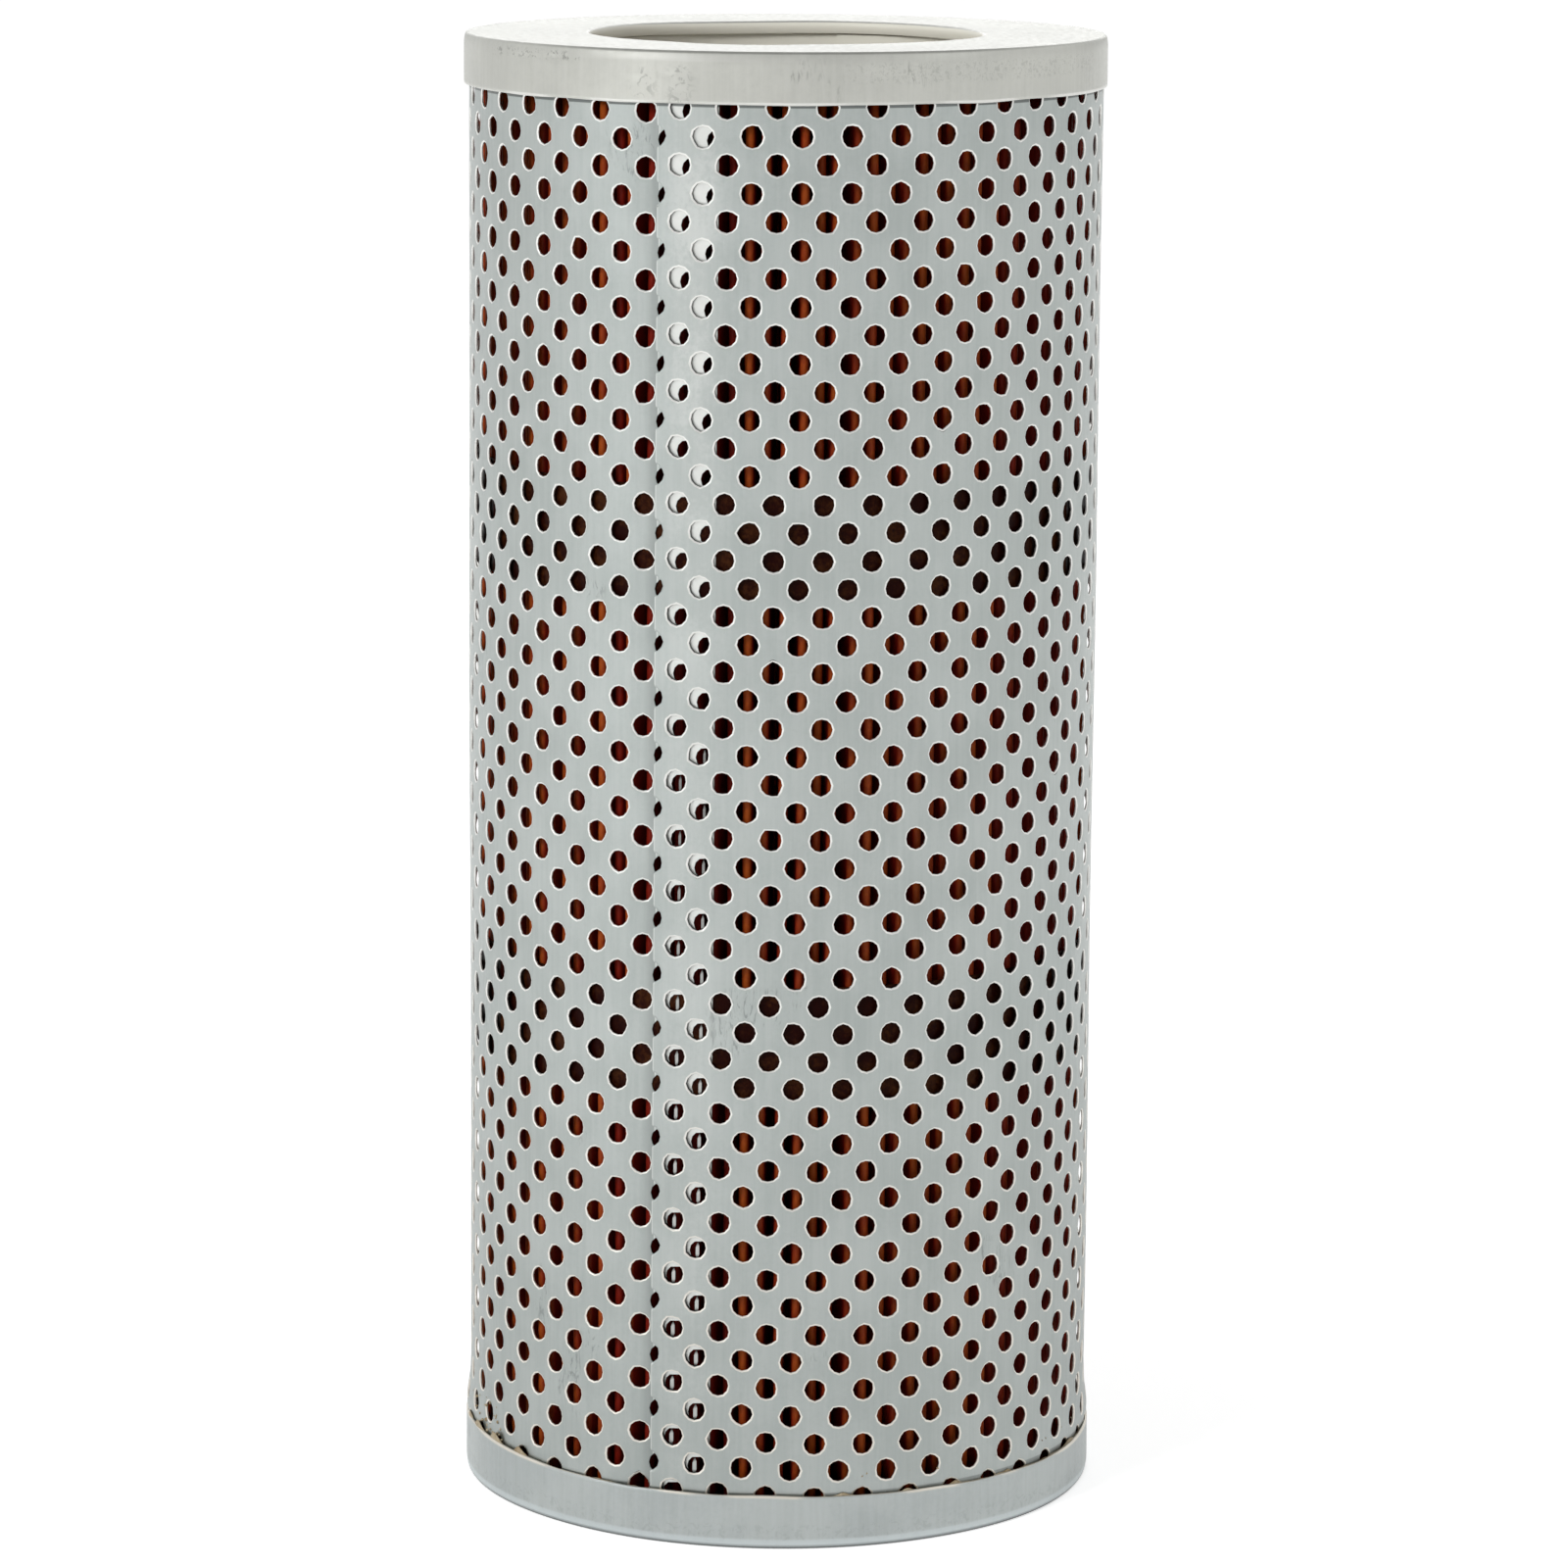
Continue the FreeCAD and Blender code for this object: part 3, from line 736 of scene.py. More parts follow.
def add_node(tree, kind, inputs=None, **settings):
    """Adds a node. inputs gives each socket a value, or the socket that feeds it."""
    node = tree.nodes.new(kind)
    for name, value in settings.items():
        setattr(node, name, value)
    for socket, value in (inputs or {}).items():
        if isinstance(value, bpy.types.NodeSocket):
            tree.links.new(value, node.inputs[socket])
        else:
            node.inputs[socket].default_value = value
    return node


def mixed(tree, factor, first, second):
    """The colour socket of a mix between two colours or colour sockets."""
    node = add_node(tree, "ShaderNodeMix", data_type="RGBA")
    for socket, value in zip((node.inputs[0], node.inputs[6], node.inputs[7]),
                             (factor, first, second)):
        if isinstance(value, bpy.types.NodeSocket):
            tree.links.new(value, socket)
        else:
            socket.default_value = value if isinstance(value, float) else (*value, 1)
    return node.outputs[2]


def worked(tree, operation, first, second, clamped=True):
    """The value socket of a Math node, kept between 0 and 1 where clamped."""
    node = add_node(tree, "ShaderNodeMath", operation=operation, use_clamp=clamped)
    for socket, value in zip(node.inputs, (first, second)):
        if isinstance(value, bpy.types.NodeSocket):
            tree.links.new(value, socket)
        else:
            socket.default_value = value
    return node.outputs[0]


def times(tree, first, second, clamped=True):
    """The product of two values or sockets."""
    return worked(tree, "MULTIPLY", first, second, clamped)


def ranged(tree, value, low, high, to_low, to_high):
    """The value socket of a Map Range node with smooth steps."""
    node = add_node(tree, "ShaderNodeMapRange", {"Value": value, "From Min": low,
                    "From Max": high, "To Min": to_low, "To Max": to_high},
                    interpolation_type="SMOOTHSTEP")
    return node.outputs[0]


def node_group(name, inputs, outputs):
    """A shader group with the given sockets, its input and its output node."""
    group = bpy.data.node_groups.new(name, "ShaderNodeTree")
    for way, sockets in (("INPUT", inputs), ("OUTPUT", outputs)):
        for socket, kind in sockets:
            group.interface.new_socket(name=socket, in_out=way, socket_type=kind)
    start = group.nodes.new("NodeGroupInput")
    end = group.nodes.new("NodeGroupOutput")
    return group, start, end


def mottle_group():
    """Cloudy plating: a broad noise and a fine noise, mixed into one tone."""
    group, start, end = node_group(
        "plating_mottle",
        (("Vector", "NodeSocketVector"), ("Broad Scale", "NodeSocketFloat"),
         ("Fine Scale", "NodeSocketFloat")),
        (("Tone", "NodeSocketFloat"), ("Fine", "NodeSocketFloat")),
    )
    broad = add_node(group, "ShaderNodeTexNoise", {
        "Vector": start.outputs["Vector"], "Scale": start.outputs["Broad Scale"],
        "Detail": 3.0, "Roughness": 0.55,
    })
    fine = add_node(group, "ShaderNodeTexNoise", {
        "Vector": start.outputs["Vector"], "Scale": start.outputs["Fine Scale"],
        "Detail": 5.0, "Roughness": 0.65,
    })
    both = worked(group, "ADD", times(group, broad.outputs[0], 0.6),
                  times(group, fine.outputs[0], 0.4))
    group.links.new(ranged(group, both, 0.38, 0.62, 0.0, 1.0), end.inputs["Tone"])
    group.links.new(fine.outputs[0], end.inputs["Fine"])
    return group


def scuff_group():
    """Rubbed patches and scratches: a stretched noise, kept only inside the patches of
    a broad noise above a threshold, which the amount lowers."""
    group, start, end = node_group(
        "scuffs",
        (("Vector", "NodeSocketVector"), ("Scale", "NodeSocketFloat"),
         ("Amount", "NodeSocketFloat")),
        (("Mask", "NodeSocketFloat"),),
    )
    patch = add_node(group, "ShaderNodeTexNoise", {
        "Vector": start.outputs["Vector"], "Scale": start.outputs["Scale"],
        "Detail": 2.0, "Roughness": 0.5,
    })
    mapped = add_node(group, "ShaderNodeMapping", {
        "Vector": start.outputs["Vector"], "Rotation": (0.5, 0.3, 0.2),
        "Scale": (3.0, 3.0, 0.7),
    })
    lines = add_node(group, "ShaderNodeTexNoise", {
        "Vector": mapped.outputs[0], "Scale": 260.0, "Detail": 6.0,
        "Roughness": 0.7, "Distortion": 1.5,
    })
    limit = worked(group, "SUBTRACT", 0.72, start.outputs["Amount"])
    past = worked(group, "SUBTRACT", patch.outputs[0], limit)
    edge = ranged(group, past, 0.0, 0.05, 0.0, 1.0)
    grain = ranged(group, lines.outputs[0], 0.52, 0.64, 0.0, 1.0)
    group.links.new(times(group, edge, grain), end.inputs["Mask"])
    return group


def streak_group():
    """Fine upright rolling marks: a noise stretched tenfold and more along Z."""
    group, start, end = node_group(
        "rolling_streaks",
        (("Vector", "NodeSocketVector"), ("Scale", "NodeSocketFloat")),
        (("Streak", "NodeSocketFloat"),),
    )
    mapped = add_node(group, "ShaderNodeMapping", {
        "Vector": start.outputs["Vector"], "Scale": (1.0, 1.0, 0.05),
    })
    noise = add_node(group, "ShaderNodeTexNoise", {
        "Vector": mapped.outputs[0], "Scale": start.outputs["Scale"],
        "Detail": 4.0, "Roughness": 0.6,
    })
    group.links.new(noise.outputs[0], end.inputs["Streak"])
    return group


def edge_group():
    """Marked edges: brighter metal where the mark is above 0, partly burnished and partly a painted
    highlight, and painted shade where it is below.
    """
    group, start, end = node_group(
        "edge_wear_and_light",
        (("Mark", "NodeSocketFloat"), ("Plating", "NodeSocketColor"),
         ("Bare Metal", "NodeSocketColor")),
        (("Colour", "NodeSocketColor"),),
    )
    mark = start.outputs["Mark"]
    edged = mixed(group, ranged(group, mark, 0.0, 0.45, 0.0, 0.95),
                  start.outputs["Plating"], start.outputs["Bare Metal"])
    painted_shade_colour = mixed(group, ranged(group, mark, -0.9, -0.05, 0.97, 0.0), edged, PAINTED_SHADE_BLACK)
    group.links.new(painted_shade_colour, end.inputs["Colour"])
    return group


def shared_group(name):
    """The named group, built the first time that a material asks for it."""
    makers = {"plating_mottle": mottle_group, "scuffs": scuff_group,
              "rolling_streaks": streak_group, "edge_wear_and_light": edge_group}
    return bpy.data.node_groups.get(name) or makers[name]()


def use_group(tree, name, **inputs):
    """Places a shared group in a material with its own links and values."""
    named = {socket.replace("_", " "): value for socket, value in inputs.items()}
    return add_node(tree, "ShaderNodeGroup", named, node_tree=shared_group(name))


def mottled(tree, place, broad, fine):
    """Sockets of the plating_mottle group, its tone and its fine noise, at two scales."""
    node = use_group(tree, "plating_mottle", Vector=place, Broad_Scale=broad,
                     Fine_Scale=fine)
    return node.outputs["Tone"], node.outputs["Fine"]


def new_material(name):
    """A node material with its shader and the object's own coordinates."""
    material = bpy.data.materials.new(name)
    material.use_nodes = True
    tree = material.node_tree
    shader = tree.nodes["Principled BSDF"]
    place = tree.nodes.new("ShaderNodeTexCoord").outputs["Object"]
    return material, tree, shader, place


def paint(tree, shader, colour_socket, fine, smoothest, roughest):
    """Feeds the shader a colour, and a roughness that follows the fine noise."""
    tree.links.new(colour_socket, shader.inputs["Base Color"])
    rough = ranged(tree, fine, 0.3, 0.7, smoothest, roughest)
    tree.links.new(rough, shader.inputs["Roughness"])


def bumped(tree, shader, height, strength, distance):
    """Feeds a height into the shader's normal."""
    bump = add_node(tree, "ShaderNodeBump", {
        "Height": height, "Strength": strength, "Distance": distance,
    })
    tree.links.new(bump.outputs[0], shader.inputs["Normal"])


def rolled_finish(tree, shader, place, fine, rough):
    """Rolled sheet: its roughness follows the fine noise, and that noise and upright
    rolling streaks give it a shallow relief. Returns the socket of the streaks."""
    streak = use_group(tree, "rolling_streaks", Vector=place, Scale=900.0).outputs["Streak"]
    roughness = ranged(tree, fine, 0.3, 0.7, rough - 0.06, rough + 0.08)
    tree.links.new(roughness, shader.inputs["Roughness"])
    relief = worked(tree, "ADD", times(tree, fine, 0.5), times(tree, streak, 0.5))
    bumped(tree, shader, relief, 0.25, 0.00006)
    return streak


def polar(tree, place):
    """Sockets of the turn round Z, from -Y towards +X in radians, of the distance from
    Z squared, and of Z itself."""
    axis = add_node(tree, "ShaderNodeSeparateXYZ", {0: place})
    x, y, z = axis.outputs
    turn = worked(tree, "ARCTAN2", x, times(tree, y, -1.0, clamped=False), clamped=False)
    square = worked(tree, "ADD", times(tree, x, x), times(tree, y, y))
    return turn, square, z


def between(tree, value, low, high, soft):
    """1 between two limits and 0 outside, with smooth steps of twice that width."""
    rise = ranged(tree, value, low - soft, low + soft, 0.0, 1.0)
    fall = ranged(tree, value, high - soft, high + soft, 1.0, 0.0)
    return times(tree, rise, fall)


def seam_masks(tree, place, seam):
    """Masks from the turn past a seam that drifts with the height: painted shade that
    thickens over 3 mm up to it, a painted highlight on its own edge and on the sheet
    under its lap, and a painted glare beside it that grows with the height."""
    degrees, drift, middle = seam
    turn, square, height = polar(tree, place)
    rise = times(tree, height, float(np.radians(drift)), clamped=False)
    start = float(np.radians(degrees - drift * middle))
    past = worked(tree, "SUBTRACT", worked(tree, "SUBTRACT", turn, rise, clamped=False),
                  start, clamped=False)
    seam_shade = times(tree, ranged(tree, past, -0.050, -0.004, 0.0, 1.0),
                 worked(tree, "LESS_THAN", past, 0.0))
    edge = between(tree, past, 0.0015, 0.0035, 0.0015)
    inner = worked(tree, "LESS_THAN", square, UNDER_LAP ** 2)
    under = times(tree, inner, between(tree, past, 0.037, 0.2, 0.002))
    glare = times(tree, between(tree, past, 0.05, 0.20, 0.06),
                  ranged(tree, height, 0.15, 0.27, 0.25, 1.0))
    return seam_shade, edge, under, glare


def scuffed_patch(tree, place, turns, heights, scale, amount):
    """A patch between two turns and two heights, filled with the crests of a twisted
    noise, as small dark chips and curled scratches."""
    turn, _, height = polar(tree, place)
    area = times(tree, between(tree, turn, *(float(np.radians(a)) for a in turns), 0.03),
                 between(tree, height, *heights, 0.0005))
    noise = add_node(tree, "ShaderNodeTexNoise", {
        "Vector": place, "Scale": scale, "Detail": 3.0, "Roughness": 0.6, "Distortion": 1.2,
    })
    chips = ranged(tree, noise.outputs[0], 0.54, 0.60, 0.0, amount)
    return times(tree, area, chips)


def plated_steel(name, dark, light, rubbed_and_highlight, rough, streaks, scuff_amount, creamed,
                 seam=None, lines=(), patches=(), pale_radius=0.0):
    """Satin plated sheet: two tones of mottle, upright streaks, scuffs that darken it,
    the brighter metal where the mesh's mark is high, partly burnished and partly a
    painted highlight, and painted shade where it is below 0. A seam, given by its angle,
    drift and middle height, has painted shade before its edge, painted highlights on
    that edge and on the sheet under its lap, and a painted glare beside it. Creamed
    tints the rims towards the foot. Lines are (low, high, depth) bands of painted
    shadow, and patches the arguments of scuffed_patch. Within pale_radius the metal
    has the pale coat of the centre tube."""
    material, tree, shader, place = new_material(name)
    tone, fine = mottled(tree, place, 55.0, 900.0)
    streak = rolled_finish(tree, shader, place, fine, rough)
    scuff = use_group(tree, "scuffs", Vector=place, Scale=38.0, Amount=scuff_amount)
    # Darker plating: for the scuffs and patches, and as painted shade at the seam and in the lines
    grime_and_shade = tuple(0.3 * value for value in dark)
    tone_and_light = mixed(tree, tone, dark, light)
    tone_and_light = mixed(tree, ranged(tree, streak, 0.3, 0.7, 0.0, streaks), tone_and_light, rubbed_and_highlight)
    tone_and_light = mixed(tree, times(tree, scuff.outputs["Mask"], 0.45), tone_and_light, grime_and_shade)
    for patch in patches:
        tone_and_light = mixed(tree, scuffed_patch(tree, place, *patch), tone_and_light, grime_and_shade)
    if seam:
        # Painted shade before the seam, painted highlights on its edge and under the lap, and a
        # painted glare as cloudy as the plating
        seam_shade, edge, under, glare = seam_masks(tree, place, seam)
        cloudy = ranged(tree, tone, 0.0, 1.0, 0.12, 0.3)
        for mask, share, over in ((seam_shade, 0.36, grime_and_shade), (edge, 0.5, rubbed_and_highlight),
                                  (under, 0.6, rubbed_and_highlight), (glare, cloudy, rubbed_and_highlight)):
            tone_and_light = mixed(tree, times(tree, mask, share), tone_and_light, over)
    _, square, height = polar(tree, place)
    # Lines: bands of painted shadow
    for low, high, depth in lines:
        line = times(tree, between(tree, height, low, high, 0.0001), depth)
        tone_and_light = mixed(tree, line, tone_and_light, grime_and_shade)
    cream = times(tree, ranged(tree, height, 0.02, 0.13, creamed, 0.0),
                  ranged(tree, height, 0.003, 0.008, 0.0, 1.0))
    # Marks above 0 give brighter metal, partly burnished and partly a painted highlight, and those
    # below 0 painted shade
    mark = add_node(tree, "ShaderNodeAttribute", attribute_name="mark").outputs["Fac"]
    tone_and_light = use_group(tree, "edge_wear_and_light", Mark=mark, Plating=tone_and_light,
                     Bare_Metal=mixed(tree, cream, rubbed_and_highlight, CREAM_DUST)).outputs["Colour"]
    if pale_radius:
        pale = worked(tree, "LESS_THAN", square, pale_radius ** 2)
        tone_and_light = mixed(tree, pale, tone_and_light, PALE_COAT)
        metallic = ranged(tree, pale, 0.0, 1.0, 1.0, COAT_METALLIC)
        tree.links.new(metallic, shader.inputs["Metallic"])
    else:
        shader.inputs["Metallic"].default_value = 1.0
    tree.links.new(tone_and_light, shader.inputs["Base Color"])
    return material


def coated_steel(name, coat):
    """Sheet under a dull pale coat of one tone, with the roughness and the relief of
    rolled sheet."""
    material, tree, shader, place = new_material(name)
    _, fine = mottled(tree, place, 55.0, 900.0)
    rolled_finish(tree, shader, place, fine, 0.50)
    shader.inputs["Base Color"].default_value = (*coat, 1)
    shader.inputs["Metallic"].default_value = COAT_METALLIC
    return material


def paper_material(deep, back):
    """Resin-soaked paper: a deep red brown in the folds, darkened there as painted shade,
    and amber on their backs as a painted highlight, with fine fibres and soaked clouds."""
    material, tree, shader, place = new_material("soaked_paper")
    mark = add_node(tree, "ShaderNodeAttribute", attribute_name="mark").outputs["Fac"]
    tone, fine = mottled(tree, place, 90.0, 1500.0)
    # The mark mixes the painted highlight of the backs into the painted shade of the folds
    amount = times(tree, mark, ranged(tree, tone, 0.0, 1.0, 0.7, 1.0))
    soaked = mixed(tree, ranged(tree, amount, 0.25, 0.95, 0.0, 1.0), deep, back)
    paint(tree, shader, soaked, fine, 0.42, 0.62)
    shader.inputs["Specular IOR Level"].default_value = 0.15
    bumped(tree, shader, fine, 0.35, 0.00008)
    return material


def tape_material(brown, tone_and_light):
    """Varnished brown strip, smooth, with faint lighter clouds that are a painted glow."""
    material, tree, shader, place = new_material("varnished_tape")
    tone, fine = mottled(tree, place, 120.0, 1100.0)
    # The lighter clouds are a painted glow
    varnished = mixed(tree, worked(tree, "POWER", tone, 2.0), brown, tone_and_light)
    paint(tree, shader, varnished, fine, 0.3, 0.45)
    shader.inputs["Specular IOR Level"].default_value = 0.04
    bumped(tree, shader, fine, 0.15, 0.00004)
    return material


def adhesive_material(dark, light):
    """Cast adhesive: cream and tan clouds with a grainy, dull surface."""
    material, tree, shader, place = new_material("cast_adhesive")
    tone, fine = mottled(tree, place, 260.0, 1800.0)
    paint(tree, shader, mixed(tree, tone, dark, light), fine, 0.5, 0.8)
    bumped(tree, shader, fine, 0.5, 0.00015)
    return material


def ray_masks(tree):
    """Sockets that are 1 for the camera's own rays, and for those and the mirrored and
    refracted ones."""
    paths = tree.nodes.new("ShaderNodeLightPath").outputs
    camera = paths["Is Camera Ray"]
    seen = worked(tree, "ADD", camera, paths["Is Glossy Ray"])
    return camera, worked(tree, "ADD", seen, paths["Is Transmission Ray"])


# Settings


def length(name, description, default):
    """A property for a length in metres."""
    return FloatProperty(name=name, description=description, default=default,
                         subtype="DISTANCE", unit="LENGTH", precision=5)


def colour(name, description, default):
    """A property for a linear colour."""
    return FloatVectorProperty(name=name, description=description, default=default,
                               subtype="COLOR", size=3, min=0, max=1)


class SheetSettings(bpy.types.PropertyGroup):
    """Outer shell and centre tube."""

    sheet: length("Sheet", "Thickness of the rolled sheet", 0.0005)
    shell_hole: length("Shell hole", "Diameter of a punched hole in the shell", 0.00425)
    tube_hole: length("Tube hole", "Diameter of a punched hole in the centre tube", 0.005)
    rim_width: length("Rim width", "Width of the rolled-over rim of a hole", 0.00046)
    rim_depth: length("Rim depth", "How far the rim turns in", 0.0002)
    dark: colour("Dark plating", "Darker tone of the plating", (0.375, 0.408, 0.395))
    light: colour("Light plating", "Lighter tone of the plating", (0.425, 0.458, 0.445))
    # Brighter metal of the rims, partly burnished and partly a painted highlight
    rubbed_and_highlight: colour("Rubbed edges", "Burnished metal on rims", (0.80, 0.80, 0.77))
    coat: colour("Tube coat", "Dull pale coat of the centre tube", PALE_COAT)


class PaperSettings(bpy.types.PropertyGroup):
    """Pleated paper and wrap bands."""

    folds: IntProperty(name="Folds", description="Folds round the ring", default=112, min=20)
    inner: length("Inner radius", "Radius of the inner folds", 0.04245)
    outer: length("Outer radius", "Radius of the outer folds", 0.06225)
    thickness: length("Paper", "Thickness of the paper", 0.00035)
    band_height: length("Band height", "Height of a wrap band", 0.023)
    # The paper's red brown, darkened in the folds as painted shade and lit amber on the backs as a
    # painted highlight
    deep: colour("Deep folds", "Paper deep in the folds", (0.24, 0.014, 0.006))
    back: colour("Fold backs", "Paper on the backs of the folds", (0.39, 0.076, 0.009))
    tape: colour("Tape", "Colour of a wrap band", (0.015, 0.0015, 0.0008))
    # Lighter clouds of the strip, a painted glow
    tape_glow: colour("Rubbed tape", "Lighter clouds of a wrap band", (0.055, 0.017, 0.005))


class CapSettings(bpy.types.PropertyGroup):
    """End caps and adhesive."""

    sheet: length("Sheet", "Thickness of the pressed cap", 0.0006)
    corner: length("Corner", "Tight outer radius at the end face", 0.0008)
    shoulder: length("Shoulder", "Wide outer radius between corner and skirt", 0.0075)
    lean: FloatProperty(name="Lean", description="How far the shoulder leans in, degrees",
                        default=13.0)
    hollow: length("Hollow", "Radius of the adhesive in the cap's corner", 0.0021)
    bore: length("Bore", "Radius of the clear opening", 0.0396)
    lip: length("Lip", "Height of the lip turned into the bore", 0.0026)
    top_dark: colour("Upper cap, dark", "Darker tone of the upper cap", (0.47, 0.475, 0.44))
    top_light: colour("Upper cap, light", "Lighter tone of the upper cap", (0.52, 0.525, 0.485))
    low_dark: colour("Lower cap, dark", "Darker tone of the lower cap", (0.40, 0.43, 0.425))
    low_light: colour("Lower cap, light", "Lighter tone of the lower cap", (0.46, 0.49, 0.48))
    # Brighter metal of the caps' marks, partly burnished and partly a painted highlight
    rubbed_and_highlight: colour("Rubbed edges", "Burnished metal", (0.66, 0.66, 0.63))
    tan: colour("Adhesive, dark", "Darker tone of the adhesive", (0.30, 0.22, 0.12))
    cream: colour("Adhesive, light", "Lighter tone of the adhesive", (0.50, 0.42, 0.29))


class StageSettings(bpy.types.PropertyGroup):
    """Floor, camera and light."""

    distance: length("Distance", "Camera distance in front of the axis", 1.25961)
    eye_height: length("Eye height", "Camera height over the floor", 0.37327)
    lens: FloatProperty(name="Focal length", description="Camera lens, millimetres",
                        default=142.597)
    surround: FloatProperty(name="Surround", description="Light from all sides", default=0.45)


# Operators


class FILTER_OT_outer_shell(bpy.types.Operator):
    """Build the punched outer shell with its lap seam"""

    bl_idname = "filter_element.outer_shell"
    bl_label = "Outer Shell"

    def execute(self, context):
        look = context.scene.filter_sheets
        sheet = PunchedSheet(
            # Column, angle, height of row 0, height between rows, drift. These numbers
            # come from a least-squares fit to the places of the holes in a photograph,
            # and weren't worked out from driving sizes.
            knots=(
                (0, -23.04, 0.28141, 0.0055190, 1.6), (1, -14.76, 0.28144, 0.0055151, 1.9),
                (2.5, -1.73, 0.28167, 0.0055321, 2.5), (4, 11.40, 0.28176, 0.0055439, 2.0),
                (5.5, 24.64, 0.28180, 0.0055532, 1.3), (7, 37.70, 0.28190, 0.0055575, 0.9),
                (8.5, 50.27, 0.28204, 0.0055574, -0.3), (10, 62.96, 0.28218, 0.0055613, -2.2),
                (12, 80.20, 0.28224, 0.0055658, -4.0), (35, 284.60, 0.28059, 0.0055103, 10.0),
                (36, 293.44, 0.28060, 0.0055054, 10.0), (36.5, 297.98, 0.28061, 0.0055057, 10.0),
                (38, 311.60, 0.28062, 0.0055069, 7.6), (39.5, 325.29, 0.28058, 0.0055038, 3.7),
                (40.5, 334.44, 0.28057, 0.0055032, 2.1), (41, 338.94, 0.28063, 0.0055174, 1.7),
                (42, 347.96, 0.28068, 0.0055171, 2.1),
            ),
            rows=(-1, 49), ends=(PAPER_BOTTOM, PAPER_TOP), radius=SHELL_RADIUS,
            depths=(look.rim_depth, look.sheet), lap_gap=(0.0006, 0.0004),
            bow=0.00055, shape=shell_bend,
            torn=((0.018, 1.2, 0.4), (0.149, 0.85, 0.3), (0.276, 0.12, 0.15)),
        )
        points, faces, cuts, normals, marks = sheet.build(
            look.shell_hole / 2, look.rim_width, roughness=0.026, rng=np.random.default_rng(21)
        )
        bars, sides, ends, bar_marks = lap_slivers(sheet, look.shell_hole / 2, len(points))
        points = np.concatenate([points, bars])
        marks = np.concatenate([marks, bar_marks])
        cuts += [sides, ends]
        rim = ELEMENT_HEIGHT - UPPER_SKIRT
        # Bands of painted shadow on the shell: under the upper cap's rim and above the lower cap's
        # rim
        steel = plated_steel(
            "shell_plate", look.dark, look.light, look.rubbed_and_highlight, rough=0.40, streaks=0.07,
            scuff_amount=0.06, seam=LAP_SEAM, creamed=0.35,
            lines=((rim - 0.0006, rim + 0.002, 0.85),
                   (CAP_HEIGHT - 0.002, CAP_HEIGHT + 0.0003, 0.5)),
        )
        new_piece("punched_shell", points, faces, ["outer_shell"], steel,
                  flats=cuts, normals=normals, marks=marks)
        return {"FINISHED"}


class FILTER_OT_centre_tube(bpy.types.Operator):
    """Build the punched centre tube"""

    bl_idname = "filter_element.centre_tube"
    bl_label = "Centre Tube"

    def execute(self, context):
        look = context.scene.filter_sheets
        last_angle = TUBE_SEAM + TUBE_COLUMNS * TUBE_PITCH
        sheet = PunchedSheet(
            knots=((0, TUBE_SEAM, 0.284, 0.0060, 0.0),
                   (TUBE_COLUMNS, last_angle, 0.284, 0.0060, 0.0)),
            rows=(0, 45), ends=(TUBE_CLEARANCE, ELEMENT_HEIGHT - TUBE_CLEARANCE),
            radius=TUBE_RADIUS, depths=(look.rim_depth, look.sheet),
            lap_gap=(0.0001, 0.0001), bow=0.0, shape=tube_bend,
        )
        points, faces, cuts, normals, _ = sheet.build(
            look.tube_hole / 2, look.rim_width, roughness=0.01, rng=np.random.default_rng(22)
        )
        new_piece("punched_tube", points, faces, ["centre_tube"],
                  coated_steel("tube_plate", look.coat), flats=cuts, normals=normals)
        return {"FINISHED"}


class FILTER_OT_paper(bpy.types.Operator):
    """Build the ring of folded paper"""

    bl_idname = "filter_element.paper"
    bl_label = "Folded Paper"

    def execute(self, context):
        look = context.scene.filter_paper
        points, faces, ends, marks = folded_paper(
            look.folds, look.inner, look.outer, look.thickness, np.random.default_rng(31)
        )
        new_piece("folded_paper", points, faces, ["pleated_paper"],
                  paper_material(look.deep, look.back), flats=ends, marks=marks)
        return {"FINISHED"}


class FILTER_OT_wrap_bands(bpy.types.Operator):
    """Build the two strips that hold the folds apart"""

    bl_idname = "filter_element.wrap_bands"
    bl_label = "Wrap Bands"

    def execute(self, context):
        look = context.scene.filter_paper
        tape = tape_material(look.tape, look.tape_glow)
        for seed, node in ((41, "upper_wrap_band"), (42, "lower_wrap_band")):
            low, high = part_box(node)
            points, faces = wrap_band((low.z + high.z) / 2, look.band_height, look.folds,
                                      np.random.default_rng(seed))
            new_piece(node.replace("wrap_band", "wrap_strip"), points, [faces], [node],
                      tape)
        return {"FINISHED"}


